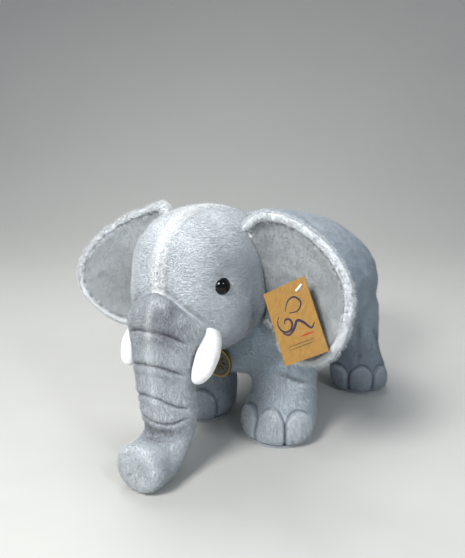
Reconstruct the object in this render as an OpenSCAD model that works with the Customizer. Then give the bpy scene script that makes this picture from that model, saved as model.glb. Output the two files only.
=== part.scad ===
// A standing plush elephant: sewn skins over stuffing, with flapping ears, a bending trunk,
// a hanging tail, a swing tag and a medallion. It faces -Y, its left is +X and it stands on Z = 0.

/* [Body] */
// Half of the body's greatest width
body_half_w = 88; // [82:1:92]
// Thickness of the pile fabric, backing and pile together
skin_t = 3; // [2:0.5:4]
// Half of the belly panel's arc
belly_arc = 32; // [20:1:45]
// Gap left between pieces that lie against each other
seam_gap = 0.4; // [0.3:0.1:0.6]
// Gap left between a skin and the stuffing behind it
fill_gap = 1.2; // [1:0.1:1.6]

/* [Head] */
// Half of the head's width at the cheeks
head_half_w = 51; // [48:1:53]
// Half of the pale gusset's width, over the forehead
gusset_half_w = 7; // [5:1:10]
// Radius of the domed eyes
eye_r = 7.4; // [6:0.2:9]
// Radius of a tusk at its thickest
tusk_r = 9.5; // [7:0.5:10]

/* [Ears] */
// Thickness of each of an ear's three layers
ear_layer = 2.6; // [2:0.2:3]
// Depth of the ear's hollow, front to back
ear_cup = 7; // [2:1:10]

/* [Legs] */
// Radius of a front foot at its widest
front_foot_r = 35; // [32:1:37]
// Radius of a rear foot at its widest
rear_foot_r = 31; // [28:1:33]
// How far a toe stands out of its foot
toe_bulge = 5; // [3:0.5:7]

/* [Tag and medallion] */
// Width of the swing tag
tag_w = 41; // [36:1:44]
// Height of the swing tag
tag_h = 60; // [52:1:64]
// Thickness of the swing tag's card
tag_t = 0.8; // [0.6:0.1:1.2]
// Radius of the medallion, over its rim
medallion_r = 13.5; // [12:0.5:15]

/* [Hidden] */

// Colours
pale_plush = [0.78, 0.82, 0.86];
body_plush = [0.60, 0.66, 0.73];
white_plush = [0.93, 0.94, 0.95];
velvet_grey = [0.66, 0.68, 0.71];
fibre_white = [0.97, 0.97, 0.95];

// ---- Closed solids from rings of points ----
// Each ring turns by the right-hand rule about the way the rings follow one another.

function flat(rings) = [for (ring = rings) for (p = ring) p];
function mean(ring) = [for (k = [0:2]) [for (p = ring) p[k]] * [for (p = ring) 1] / len(ring)];

// Wall faces between neighbouring rings of n points, the first of them at index base
function wall(rows, n, base, wrap) = [
    for (k = [0:rows - 2], i = [0:n - (wrap ? 1 : 2)])
        let (j = (i + 1) % n, a = base + k * n, b = a + n)
        each [[a + i, b + i, b + j], [a + i, b + j, a + j]]
];
function turned(faces) = [for (f = faces) [f[2], f[1], f[0]]];
function fan(n, base, tip) = [for (i = [0:n - 1]) [tip, base + i, base + (i + 1) % n]];

// A filled form, closed at both ends
module loft(rings) {
    n = len(rings[0]);
    rows = len(rings);
    body = rows * n;
    polyhedron(
        concat(flat(rings), [mean(rings[0]), mean(rings[rows - 1])]),
        concat(
            wall(rows, n, 0, true),
            fan(n, 0, body),
            turned(fan(n, body - n, body + 1))
        )
    );
}

// A sleeve with an open end at each end
module sleeve(outer, inner) {
    n = len(outer[0]);
    rows = len(outer);
    body = rows * n;
    polyhedron(
        concat(flat(outer), flat(inner)),
        concat(
            wall(rows, n, 0, true),
            turned(wall(rows, n, body, true)),
            rim(n, 0, body),
            turned(rim(n, body - n, 2 * body - n))
        )
    );
}
function rim(n, a, b) = [
    for (i = [0:n - 1]) let (j = (i + 1) % n) each [[a + i, a + j, b + j], [a + i, b + j, b + i]]
];

// A bowl, open at its first ring and closed at its last
module bowl(outer, inner) {
    n = len(outer[0]);
    rows = len(outer);
    body = rows * n;
    polyhedron(
        concat(flat(outer), flat(inner), [mean(outer[rows - 1]), mean(inner[rows - 1])]),
        concat(
            wall(rows, n, 0, true),
            turned(wall(rows, n, body, true)),
            rim(n, 0, body),
            turned(fan(n, body - n, 2 * body)),
            fan(n, 2 * body - n, 2 * body + 1)
        )
    );
}

// A panel with four edges, between an outer and an inner grid
module panel(outer, inner) {
    n = len(outer[0]);
    rows = len(outer);
    body = rows * n;
    polyhedron(
        concat(flat(outer), flat(inner)),
        concat(
            wall(rows, n, 0, false),
            turned(wall(rows, n, body, false)),
            [for (i = [0:n - 2]) each [[i, i + 1, body + i + 1], [i, body + i + 1, body + i]]],
            [for (i = [body - n:body - 2]) each [[i, body + i + 1, i + 1], [i, body + i, body + i + 1]]],
            [for (k = [0:rows - 2]) let (a = k * n, b = a + n) each [[a, body + b, b], [a, body + a, body + b]]],
            [for (k = [0:rows - 2]) let (a = k * n + n - 1, b = a + n)
                each [[a, b, body + b], [a, body + b, body + a]]]
        )
    );
}

// Superellipse: the share of full size left where the other shares are used up
function left_over(used, n) = pow(max(0, 1 - used), 1 / n);
function share(v, full, n) = pow(min(1, abs(v) / full), n);
function bulge(c, n) = sign(c) * pow(abs(c), 2 / n);
function spread(from, to, count) = [for (i = [0:count - 1]) from + (to - from) * i / (count - 1)];

// ---- Neck: a leaning plane that the head and the body meet at ----
function neck_y(z) = -54 + 0.2 * (z - 160);

// ---- Head: a rounded form about its own middle ----
head_mid = [0, -91, 158];
head_front = 61;
head_back = 70;
head_up = 64;
head_down = 58;
head_round = 2.4;

// Point of the head's ring at x, a degrees round from the back over the top, t inside the surface
function head_point(x, a, t) =
    let (
        f = left_over(share(x, head_half_w - t, 2.6), head_round),
        deep = cos(a) > 0 ? head_back : head_front,
        high = sin(a) > 0 ? head_up : head_down,
        z = head_mid[2] + (high - t) * f * bulge(sin(a), head_round),
        y = head_mid[1] + (deep - t) * f * bulge(cos(a), head_round)
    )
    [x, min(y, neck_y(z) - seam_gap - t), z];
// Where a line along Y through x, z meets the face
function face_y(x, z) =
    head_mid[1] - head_front * left_over(
        share(x, head_half_w, 2.6) + share(z - head_mid[2], z > head_mid[2] ? head_up : head_down, head_round),
        head_round
    );

head_sides = 30;
head_turns = [10, 20, 32, 44, 56, 67, 77, 85];
function head_ring(x, t) = [for (i = [0:head_sides - 1]) head_point(x, 360 * i / head_sides, t)];
function head_rings(t) = [for (b = head_turns) head_ring((head_half_w - t) * sin(b), t)];
function side_rings(t) = concat([head_ring(gusset_half_w + seam_gap, t)], head_rings(t));

module head_side() {
    color(pale_plush) bowl(side_rings(0), side_rings(skin_t));
}
module head_strip(from, to, rows, tint) {
    function grid(t) = [
        for (x = [-gusset_half_w, 0, gusset_half_w]) [for (a = spread(from, to, rows)) head_point(x, a, t)]
    ];
    color(tint) panel(grid(0), grid(skin_t));
}
module head_stuffing() {
    inset = skin_t + fill_gap;
    half = head_rings(inset);
    far = [for (k = [len(half) - 1:-1:0]) [for (p = half[k]) [-p[0], p[1], p[2]]]];
    color(fibre_white) loft(concat(far, [head_ring(0, inset)], half));
}

// ---- Trunk: rings along a bent middle line. Each is [y, z, tilt, half width, half depth] ----
trunk_sides = 24;
trunk_root = [134, 35, 32];
upper_line = [
    [-147, 129, 32, 33, 30], [-147, 114, 62, 29, 22], [-146, 99, 82, 27.5, 19], [-145, 84, 76, 27, 19]
];
bend_at = [0, -142, 60];
lower_line = [
    [-142, 57, 90, 25, 19], [-141, 46, 88, 22.5, 19], [-143, 35, 70, 21, 19], [-151, 26, 40, 21, 20],
    [-163, 21, 12, 21, 20.5], [-176, 20.5, 2, 22, 20.5], [-184, 20.5, 0, 20.5, 19.5]
];
tip_disc_t = 3;
bend_r = 14;

function trunk_ring(s, t) = [
    for (i = [0:trunk_sides - 1]) let (a = 360 * i / trunk_sides, up = (s[4] - t) * sin(a))
        [(s[3] - t) * cos(a), s[0] - up * sin(s[2]), s[1] + up * cos(s[2])]
];
// A ring that lies on the face, at the given part of the root's full size
function root_ring(t, off, part) = [
    for (i = [0:trunk_sides - 1])
        let (
            a = 360 * i / trunk_sides,
            x = part * (trunk_root[1] - t) * cos(a),
            z = trunk_root[0] + part * (trunk_root[2] - t) * sin(a)
        )
        [x, face_y(x, z) - off, z]
];
function trunk_rings(t, off) = concat([root_ring(t, off, 1)], [for (s = upper_line) trunk_ring(s, t)]);
function tip_rings(line, t) = [for (s = line) trunk_ring(s, t)];

module trunk_skin() {
    color(pale_plush) sleeve(trunk_rings(0, 1), trunk_rings(skin_t, 1));
}
module trunk_stuffing() {
    inset = skin_t + fill_gap;
    caps = [for (part = [0.3, 0.65]) root_ring(inset, 2, part)];
    color(fibre_white) loft(concat(caps, trunk_rings(inset, 2)));
}
module trunk_tip_skin() {
    color(pale_plush) sleeve(tip_rings(lower_line, 0), tip_rings(lower_line, skin_t));
}
module trunk_tip_stuffing() {
    inset = skin_t + fill_gap;
    dome = [
        for (b = [80, 55, 30])
            [bend_at[1], bend_at[2] + bend_r * sin(b), 90, 8 + bend_r * cos(b) + inset, bend_r * cos(b) + inset]
    ];
    last = len(lower_line) - 1;
    core = [for (k = [0:last - 1]) lower_line[k]];
    color(fibre_white) loft(tip_rings(concat(dome, core), inset));
}
module trunk_tip_disc() {
    end = lower_line[len(lower_line) - 1];
    function cap(y, t) = trunk_ring([y, end[1], end[2], end[3], end[4]], t);
    color(pale_plush) loft([cap(end[0] - seam_gap, 0.5), cap(end[0] - tip_disc_t, 2), cap(end[0] - tip_disc_t - 1.5, 9)]);
}

// ---- Tusks: short curved horns beside the trunk. Each ring is [x, y, z, radius share] ----
tusk_line = [
    [34, -127, 130, 0.7], [36.5, -131, 123, 1], [38, -136, 115, 1], [38.5, -141, 108, 0.97],
    [38, -146, 101, 0.85], [37, -149.5, 96, 0.6], [36.5, -151, 93.5, 0.3]
];
module tusk() {
    lean = 40;
    color(white_plush) loft([
        for (s = tusk_line) [
            for (i = [0:13]) let (a = 360 * i / 14, up = tusk_r * s[3] * sin(a))
                [s[0] + tusk_r * s[3] * cos(a), s[1] - up * cos(lean), s[2] + up * sin(lean)]
        ]
    ]);
}

// ---- Eyes: a domed head, a shank through the skin and a locking washer behind it ----
eye_at = [42, -124, 167];
eye_turn = [0, 90, -42];
eye_shank_r = 2;
eye_shank_l = 15;
eye_washer_r = 8;
module eye() {
    color([0.03, 0.03, 0.03]) translate(eye_at) rotate(eye_turn) {
        difference() {
            sphere(r = eye_r, $fn = 32);
            translate([0, 0, -2 * eye_r - 1.5]) cylinder(h = 2 * eye_r, r = 2 * eye_r, $fn = 32);
        }
        translate([0, 0, -eye_shank_l]) cylinder(h = eye_shank_l, r = eye_shank_r, $fn = 24);
    }
}
module eye_washer() {
    color("white") translate(eye_at) rotate(eye_turn) translate([0, 0, -9]) difference() {
        cylinder(h = 1.6, r = eye_washer_r, $fn = 32);
        translate([0, 0, -1]) cylinder(h = 4, r = eye_shank_r + 0.05, $fn = 24);
    }
}

// ---- Ears: layers of one cupped sheet between a root line and a rim ----
ear_root = [[48, -62, 119], [58, -65, 155], [47, -86, 212]];
ear_rim = [
    [66, -68, 103], [84, -80, 98], [104, -90, 101], [122, -98, 112], [135, -104, 128], [141, -104, 145],
    [141, -98, 162], [133, -90, 179], [117, -81, 194], [97, -74, 206], [78, -70, 213], [60, -76, 218]
];
ear_rows = 15;
ear_columns = 7;
ear_gap = 1.1;

// Point at share u along a line of points
function along(line, u) =
    let (p = u * (len(line) - 1), i = min(len(line) - 2, floor(p)), f = p - i)
    line[i] * (1 - f) + line[i + 1] * f;
// Point of the ear's middle sheet: v along the root, w from root to rim, off towards the back
function ear_point(v, w, off) =
    let (p = along(ear_root, v) * (1 - w) + along(ear_rim, v) * w)
    p + [0.35, 0.94, 0] * (off + ear_cup * 4 * w * (1 - w));
// A layer from the given share of the ear, in front of or behind the middle sheet
module ear_layer(front, back, reach, tint) {
    function grid(off) = [
        for (v = spread((1 - reach) / 2, (1 + reach) / 2, ear_rows))
            [for (w = spread(0, reach, ear_columns)) ear_point(v, w, off)]
    ];
    color(tint) panel(grid(front), grid(back));
}
module ear_front() {
    ear_layer(-1.5 * ear_layer - ear_gap, -0.5 * ear_layer - ear_gap, 0.95, velvet_grey);
}
module ear_wadding() {
    ear_layer(-0.5 * ear_layer, 0.5 * ear_layer, 0.9, fibre_white);
}
module ear_back() {
    ear_layer(0.5 * ear_layer + ear_gap, 1.5 * ear_layer + ear_gap, 1, pale_plush);
}

// ---- Body: stations along Y. Each is [y, half width share, top, bottom] ----
body_line = [
    [-67, 0.08, 110, 92], [-65, 0.32, 132, 76], [-58, 0.55, 160, 66], [-44, 0.73, 187, 60], [-20, 0.87, 203, 57],
    [20, 0.96, 209, 56], [60, 1, 204, 57], [100, 0.96, 196, 61], [130, 0.87, 188, 68], [152, 0.72, 178, 78],
    [165, 0.52, 169, 90], [170.5, 0.3, 159, 104], [172, 0.08, 145, 122]
];
body_round = 2.2;
back_round = 1.8;
function column(line, k) = [for (s = line) [s[0], s[k]]];
function body_w(y) = body_half_w * lookup(y, column(body_line, 1));
function body_mid_z(y) = (lookup(y, column(body_line, 2)) + lookup(y, column(body_line, 3))) / 2;
function body_half_h(y) = (lookup(y, column(body_line, 2)) - lookup(y, column(body_line, 3))) / 2;
// Height of the body's underside over a point of the floor
function underside(x, y) = body_mid_z(y) - body_half_h(y) * left_over(share(x, body_w(y), body_round), body_round);

function body_point(y, a, t) =
    let (
        w = max(1, body_w(y) - t),
        round = cos(a) > 0 ? back_round : body_round,
        z = body_mid_z(y) + max(1, body_half_h(y) - t) * bulge(cos(a), round),
        inside = min(max(y, body_line[0][0] + t), body_line[len(body_line) - 1][0] - t)
    )
    [w * bulge(sin(a), round), max(inside, neck_y(z) + seam_gap + t), z];

module body_panel(from, to, columns, tint) {
    function grid(t) = [for (s = body_line) [for (a = spread(from, to, columns)) body_point(s[0], a, t)]];
    color(tint) panel(grid(0), grid(skin_t));
}
module body_stuffing() {
    color(fibre_white) loft([
        for (s = body_line) [for (i = [0:31]) body_point(s[0], 360 * i / 32, skin_t + fill_gap)]
    ]);
}

// ---- Legs: columns under the body. Each station is [share of height, radius share] ----
front_foot = [46, -34];
front_top = [45, -17];
rear_foot = [67, 117];
rear_top = [54, 116];
front_top_r = 28;
rear_top_r = 27;
sole_t = 3;
leg_line = [
    [0.04, 0.9], [0.1, 0.98], [0.22, 1], [0.38, 0.95], [0.54, 0.87], [0.66, 0.84], [0.8, 0.87], [0.9, 0.88]
];
leg_sides = 22;
leg_gap = 3.3;

// Foot and top of one leg: [foot, top, foot radius, top radius]
front_leg = [front_foot, front_top, front_foot_r, front_top_r];
rear_leg = [rear_foot, rear_top, rear_foot_r, rear_top_r];
nominal_h = 80;

function leg_top(leg, a, t, off) =
    let (x = leg[1][0] + (leg[3] - t) * cos(a), y = leg[1][1] + (leg[3] - t) * sin(a))
    [x, y, underside(x, y) - off];
// Station s of the leg's wall at a degrees round, t inside the surface
function leg_point(leg, s, a, t, off) =
    let (
        top = leg_top(leg, a, t, off),
        u = s[0],
        mid = leg[0] * (1 - u) + leg[1] * u,
        r = leg[2] * s[1] - t,
        z = nominal_h * u + (top[2] - nominal_h) * pow(u, 2)
    )
    [mid[0] + r * cos(a), mid[1] + r * sin(a), z];
function leg_ring(leg, s, t, off) = [for (i = [0:leg_sides - 1]) leg_point(leg, s, 360 * i / leg_sides, t, off)];
function top_ring(leg, t, off, part) = [
    for (i = [0:leg_sides - 1])
        let (
            a = 360 * i / leg_sides,
            x = leg[1][0] + part * (leg[3] - t) * cos(a),
            y = leg[1][1] + part * (leg[3] - t) * sin(a)
        )
        [x, y, underside(x, y) - off]
];
function leg_rings(leg, t, off) = concat(
    [for (s = leg_line) leg_ring(leg, s, t, off)],
    [top_ring(leg, t, off, 1)]
);

module leg_skin(leg) {
    color(body_plush) sleeve(leg_rings(leg, 0, leg_gap), leg_rings(leg, skin_t, leg_gap));
}
module leg_stuffing(leg) {
    inset = skin_t + fill_gap;
    color(fibre_white) loft(concat(
        leg_rings(leg, inset, leg_gap),
        [for (part = [0.66, 0.33]) top_ring(leg, inset, leg_gap, part)]
    ));
}
module sole(leg) {
    color(velvet_grey) translate([leg[0][0], leg[0][1], 0]) cylinder(h = sole_t - seam_gap, r = leg[2] - 6, $fn = 48);
}
// Three toes in one curved cap over the front of the foot, turned outwards by turn
module toe_cap(leg, turn) {
    half_arc = 62;
    rows = [[0.05, 0.9], [0.09, 0.97], [0.15, 1], [0.22, 1], [0.29, 0.98], [0.35, 0.96]];
    toes = 3;
    steps = 18;
    function swell(i, k) = 0.8 + toe_bulge * pow(abs(sin(180 * toes * i / steps)), 0.7) * sin(180 * (k + 0.6) / 6.2);
    function grid(out) = [
        for (k = [0:5]) [
            for (i = [0:steps]) let (a = 270 + turn + half_arc * (2 * i / steps - 1))
                leg_point(leg, rows[k], a, -2 * seam_gap - (out ? swell(i, k) : 0), leg_gap)
        ]
    ];
    color(pale_plush) panel(grid(true), grid(false));
}

// ---- Tail: a cord hanging off the rump, with a tuft at its end ----
tail_at = [0, 178, 150];
tail_r = 4;
tail_l = 62;
tuft_l = 30;
tail_lean = 2;
module tail_cord() {
    color(body_plush) translate(tail_at) rotate([tail_lean, 0, 0]) {
        sphere(r = tail_r, $fn = 24);
        translate([0, 0, -tail_l]) cylinder(h = tail_l, r = tail_r, $fn = 24);
    }
}
tuft_at = tail_at + (tail_l + 5) * [0, sin(tail_lean), -cos(tail_lean)];
module tail_tuft() {
    stations = [[3.4, 2], [0, 4], [-8, 7], [-18, 7.5], [-26, 5], [-tuft_l, 1.5]];
    color(velvet_grey) translate(tuft_at) rotate([tail_lean, 0, 0]) rotate_extrude($fn = 24)
        polygon(concat([[0, stations[0][0]]], [for (s = stations) [s[1], s[0]]], [[0, -tuft_l]]));
}

// ---- Swing tag: a card on a plastic bar that passes through its corner hole into the ear ----
tag_hole_at = [98, -98, 168];
tag_turn = [12, 0, -6];
tag_hole_r = 2;
// The hole lies this far in from both edges, and the card hangs with its middle below it
tag_hole_in = 7;
tag_roll = atan((tag_w / 2 - tag_hole_in) / (tag_h / 2 - tag_hole_in));
pin_r = 0.7;
module on_tag() {
    translate(tag_hole_at) rotate([0, 0, tag_turn[2]]) rotate([90 - tag_turn[0], 0, 0]) children();
}
module hang_tag() {
    color([0.72, 0.52, 0.22]) on_tag() rotate([0, 0, tag_roll]) difference() {
        translate([tag_hole_in - tag_w, tag_hole_in - tag_h, 0]) cube([tag_w, tag_h, tag_t]);
        translate([0, 0, -1]) cylinder(h = tag_t + 2, r = tag_hole_r, $fn = 32);
    }
}
module tag_fastener() {
    bar = [7, 1.6, 1.2];
    color("white") on_tag() {
        translate([0, 0, -8.4]) cylinder(h = 8.4 + tag_t + 1.2, r = pin_r, $fn = 20);
        translate([0, 0, tag_t + 0.6 + bar[2] / 2]) rotate([0, 0, 55]) cube(bar, center = true);
    }
}

// ---- Medallion: a disc in a gilt rim, hung from a thread at the throat ----
medallion_at = [4, -72, 77];
medallion_t = 2.4;
hanger_r = 2.6;
hanger_wire = 0.6;
module facing_front(at) {
    translate(at) rotate([90, 0, 0]) children();
}
module medallion_disc() {
    color([0.13, 0.12, 0.10]) facing_front(medallion_at)
        cylinder(h = medallion_t - 0.6, r = medallion_r - 1.4, $fn = 48);
}
module medallion_rim() {
    color([0.75, 0.62, 0.30]) facing_front(medallion_at) translate([0, 0, -0.3]) difference() {
        cylinder(h = medallion_t, r = medallion_r, $fn = 48);
        translate([0, 0, -1]) cylinder(h = medallion_t + 2, r = medallion_r - 1.35, $fn = 48);
    }
}
hanger_at = medallion_at + [0, -medallion_t / 2 + 0.3, medallion_r + hanger_r + hanger_wire];
module medallion_hanger() {
    color([0.75, 0.62, 0.30]) translate(hanger_at) rotate([90, 0, 0])
        rotate_extrude($fn = 32) translate([hanger_r, 0]) circle(r = hanger_wire, $fn = 16);
}
// The thread at the throat, which the hanger swings on
thread_r = 0.7;
thread_at = hanger_at + [0, -3, hanger_r - 1.7];
module throat_thread() {
    color([0.55, 0.50, 0.35]) translate(thread_at) rotate([-90, 0, 0]) cylinder(h = 16, r = thread_r, $fn = 20);
}

// ---- Care label: a blank ribbon tab sewn in low on the rump ----
module care_label() {
    color("white") translate([-30, 168, 84]) rotate([-35, 0, 10]) cube([14, 0.5, 22], center = true);
}

module mirrored(left) {
    if (left) children();
    else mirror([1, 0, 0]) children();
}

head_side();  // head_skin_left
mirrored(false) head_side();  // head_skin_right
head_strip(10, 166, 22, white_plush);  // forehead_gusset
head_strip(262, 330, 10, pale_plush);  // chin_panel
head_stuffing();
trunk_skin();
trunk_stuffing();
trunk_tip_skin();
trunk_tip_stuffing();
trunk_tip_disc();
tusk();  // tusk_left
mirrored(false) tusk();  // tusk_right
eye();  // eye_left
mirrored(false) eye();  // eye_right
eye_washer();  // eye_washer_left
mirrored(false) eye_washer();  // eye_washer_right
ear_front();  // ear_left_front
ear_wadding();  // ear_left_wadding
ear_back();  // ear_left_back
mirrored(false) ear_front();  // ear_right_front
mirrored(false) ear_wadding();  // ear_right_wadding
mirrored(false) ear_back();  // ear_right_back
body_panel(0.2, 180 - belly_arc, 12, body_plush);  // body_skin_left
mirrored(false) body_panel(0.2, 180 - belly_arc, 12, body_plush);  // body_skin_right
body_panel(180.4 - belly_arc, 179.6 + belly_arc, 7, pale_plush);  // belly_panel
body_stuffing();
leg_skin(front_leg);  // leg_skin_front_left
mirrored(false) leg_skin(front_leg);  // leg_skin_front_right
leg_skin(rear_leg);  // leg_skin_rear_left
mirrored(false) leg_skin(rear_leg);  // leg_skin_rear_right
leg_stuffing(front_leg);  // leg_stuffing_front_left
mirrored(false) leg_stuffing(front_leg);  // leg_stuffing_front_right
leg_stuffing(rear_leg);  // leg_stuffing_rear_left
mirrored(false) leg_stuffing(rear_leg);  // leg_stuffing_rear_right
sole(front_leg);  // sole_front_left
mirrored(false) sole(front_leg);  // sole_front_right
sole(rear_leg);  // sole_rear_left
mirrored(false) sole(rear_leg);  // sole_rear_right
toe_cap(front_leg, 12);  // toe_cap_front_left
mirrored(false) toe_cap(front_leg, 12);  // toe_cap_front_right
toe_cap(rear_leg, 30);  // toe_cap_rear_left
mirrored(false) toe_cap(rear_leg, 30);  // toe_cap_rear_right
tail_cord();
tail_tuft();
hang_tag();
tag_fastener();
medallion_disc();
medallion_rim();
medallion_hanger();
throat_thread();
care_label();
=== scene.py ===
"""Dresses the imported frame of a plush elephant.

Stuffed forms of pile fabric, brushed pile, eyes, tag, medallion and a plain stage.
"""

import math

import bmesh
import bpy
import numpy as np
from mathutils import Matrix, Vector


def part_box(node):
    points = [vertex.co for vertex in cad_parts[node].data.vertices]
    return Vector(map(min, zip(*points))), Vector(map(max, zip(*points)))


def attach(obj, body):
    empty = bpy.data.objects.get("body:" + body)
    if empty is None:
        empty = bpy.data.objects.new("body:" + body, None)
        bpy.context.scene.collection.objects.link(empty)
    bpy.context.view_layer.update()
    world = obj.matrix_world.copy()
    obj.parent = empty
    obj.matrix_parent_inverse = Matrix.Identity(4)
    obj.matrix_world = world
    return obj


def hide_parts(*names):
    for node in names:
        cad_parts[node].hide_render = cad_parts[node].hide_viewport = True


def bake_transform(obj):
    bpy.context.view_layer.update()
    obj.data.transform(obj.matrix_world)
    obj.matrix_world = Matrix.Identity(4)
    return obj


bl_info = {
    "name": "Plush Elephant",
    "version": (1, 0, 0),
    "blender": (4, 5, 0),
    "location": "View3D > Sidebar > Plush Elephant",
    "description": "Makes the sewn and stuffed pieces of a plush elephant over its frame",
    "category": "Add Mesh",
}

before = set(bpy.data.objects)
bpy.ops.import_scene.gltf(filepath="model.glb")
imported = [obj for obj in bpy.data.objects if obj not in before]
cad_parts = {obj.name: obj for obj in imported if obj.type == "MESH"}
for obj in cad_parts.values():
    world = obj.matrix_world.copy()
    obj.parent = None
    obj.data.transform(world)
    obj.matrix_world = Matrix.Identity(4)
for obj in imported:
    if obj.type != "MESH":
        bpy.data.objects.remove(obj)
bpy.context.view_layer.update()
MM = 0.001


# ---------------------------------------------------------------- colours


def srgb(r, g, b):
    """Scene-linear colour of a display colour from 0 to 255."""
    return tuple(((c / 255 + 0.055) / 1.055) ** 2.4 if c > 10.3 else c / 255 / 12.92 for c in (r, g, b))


# ---------------------------------------------------------------- settings


def colour_property(name, description, default):
    return bpy.props.FloatVectorProperty(
        name=name, description=description, subtype="COLOR", size=3, min=0, max=1, default=default
    )


def length_property(name, description, default, top):
    return bpy.props.FloatProperty(
        name=name, description=description, default=default, min=0, max=top, unit="LENGTH", subtype="DISTANCE"
    )


class PlushFabrics(bpy.types.PropertyGroup):
    """Colours of the fabrics."""

    head: colour_property("Head", "Pale pile of the head and the trunk", srgb(204, 211, 217))
    stripe: colour_property(
        "Stripe", "Whitish longer pile of the forehead and the ear rims", srgb(238, 241, 243)
    )
    body: colour_property("Body", "Blue-grey pile of the body and the legs", srgb(174, 188, 200))
    velvet: colour_property("Ear velvet", "Short grey velvet inside the ears", srgb(160, 165, 168))
    tusk: colour_property("Tusks", "White short plush of the tusks", srgb(250, 251, 251))
    # The airbrush colour is also used for painted shade in folds, hollows, toe grooves, eye sockets, the ear's
    # cup and on the rear legs.
    airbrush_and_shade: colour_property("Airbrush", "Dark tint sprayed along folds", srgb(92, 91, 102))


class PlushPile(bpy.types.PropertyGroup):
    """Size and thickness of the brushed pile."""

    short: length_property("Short pile", "Length of the pile on most of the toy", 3.5 * MM, 0.01)
    long: length_property("Long pile", "Length of the pile of the stripe and the ear rims", 6 * MM, 0.02)
    width: length_property("Fibre width", "Width of a tuft of fibres at its root", 0.33 * MM, 0.002)
    density: bpy.props.FloatProperty(
        name="Density", description="Tufts on a square metre of fabric", default=1200000, min=1000,
        max=2000000
    )


class PlushStitching(bpy.types.PropertyGroup):
    """Depths of the seams and the folds."""

    seam: length_property("Seam", "Depth of a sewn seam below the pile", 1.5 * MM, 0.005)
    fold: length_property("Fold", "Depth of a fold of the trunk", 2.6 * MM, 0.006)
    toe: length_property("Toe groove", "Depth of the sewn grooves between the toes", 3.4 * MM, 0.006)
    fill: length_property("Fill", "How far the stuffing may push the fabric out", 3 * MM, 0.008)


# ---------------------------------------------------------------- numbers


def along(table, share):
    """Smooth curve through the rows of a table, at shares from 0 to 1 of its length."""
    t = np.asarray(table, float)
    s = np.clip(np.asarray(share, float), 0, 1) * (len(t) - 1)
    i = np.clip(s.astype(int), 0, len(t) - 2)
    f = (s - i)[..., None]
    a, b, c, d = t[np.maximum(i - 1, 0)], t[i], t[i + 1], t[np.minimum(i + 2, len(t) - 1)]
    return 0.5 * (2 * b + (c - a) * f + (2 * a - 5 * b + 4 * c - d) * f**2 + (3 * b - a - 3 * c + d) * f**3)


def ramp(low, high, x):
    """0 below low, 1 above high, smooth in between."""
    t = np.clip((np.asarray(x, float) - low) / (high - low), 0, 1)
    return t * t * (3 - 2 * t)


def bell(x, width):
    return np.exp(-((x / width) ** 2))


def lumps(p, size, seed):
    """Smooth unevenness from about -1 to 1, with lumps of the given size."""
    dice = np.random.default_rng(seed)
    ways = dice.normal(size=(9, 3))
    ways /= np.linalg.norm(ways, axis=1)[:, None]
    waves = np.sin(p @ ways.T * (2 * math.pi / size) * dice.uniform(0.6, 1.5, 9) + dice.uniform(0, 6.28, 9))
    return waves.sum(1) / 4.2


def signed_power(x, n):
    return np.sign(x) * np.abs(x) ** n


def line_distance(p, line):
    """Distance of each point from a line of points, and the share along the line of the nearest place."""
    line = np.asarray(line, float)
    best, where = np.full(len(p), 1e9), np.zeros(len(p))
    for k in range(len(line) - 1):
        a, d = line[k], line[k + 1] - line[k]
        t = np.clip((p - a) @ d / max(d @ d, 1e-12), 0, 1)
        gap = np.linalg.norm(p - (a + t[:, None] * d), axis=1)
        where = np.where(gap < best, (k + t) / (len(line) - 1), where)
        best = np.minimum(best, gap)
    return best, where


def both_sides(line):
    """A line of points and its mirror image, in metres from millimetres."""
    line = np.asarray(line, float) * MM
    return [line, line * [-1, 1, 1]]


# ---------------------------------------------------------------- meshes


def settings():
    return bpy.context.scene.plush_fabrics, bpy.context.scene.plush_pile, bpy.context.scene.plush_stitching


def points_of(mesh):
    p = np.empty(len(mesh.vertices) * 3)
    mesh.vertices.foreach_get("co", p)
    return p.reshape(-1, 3)


def normals_of(mesh):
    n = np.empty(len(mesh.vertices) * 3)
    mesh.vertex_normals.foreach_get("vector", n)
    return n.reshape(-1, 3)


def set_points(mesh, p):
    mesh.vertices.foreach_set("co", np.asarray(p, float).ravel())
    mesh.update()


def store(mesh, name, values):
    """Keeps a number, a direction or a colour at each vertex."""
    values = np.asarray(values, float)
    width = 1 if values.ndim == 1 else values.shape[1]
    kind = {1: "FLOAT", 3: "FLOAT_VECTOR", 4: "FLOAT_COLOR"}[width]
    if name in mesh.attributes:
        mesh.attributes.remove(mesh.attributes[name])
    key = {1: "value", 3: "vector", 4: "color"}[width]
    mesh.attributes.new(name, kind, "POINT").data.foreach_set(key, values.astype(np.float32).ravel())


def new_object(name, form, smooth=True):
    mesh = bpy.data.meshes.new(name)
    form.to_mesh(mesh)
    form.free()
    for face in mesh.polygons:
        face.use_smooth = smooth
    piece = bpy.data.objects.new(name, mesh)
    bpy.context.scene.collection.objects.link(piece)
    return piece


def rolled(rings, sides, place):
    """A closed form: a grid rolled into a tube along u and round v, whose ends are drawn together."""
    form = bmesh.new()
    bmesh.ops.create_grid(form, x_segments=rings, y_segments=sides, size=1)
    grid = np.array([v.co for v in form.verts])
    for vert, spot in zip(form.verts, place((grid[:, 0] + 1) / 2, (grid[:, 1] + 1) / 2)):
        vert.co = spot
    bmesh.ops.remove_doubles(form, verts=form.verts, dist=2e-6)
    bmesh.ops.recalc_face_normals(form, faces=form.faces)
    return form


def applied(piece):
    """Gives the piece the mesh that its modifiers make, and removes them."""
    graph = bpy.context.evaluated_depsgraph_get()
    mesh = bpy.data.meshes.new_from_object(piece.evaluated_get(graph))
    piece.modifiers.clear()
    piece.data = mesh
    return piece


def remeshed(piece, voxel):
    change = piece.modifiers.new("Voxels", "REMESH")
    change.mode = "VOXEL"
    change.voxel_size = voxel
    change.use_smooth_shade = True
    return applied(piece)


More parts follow.
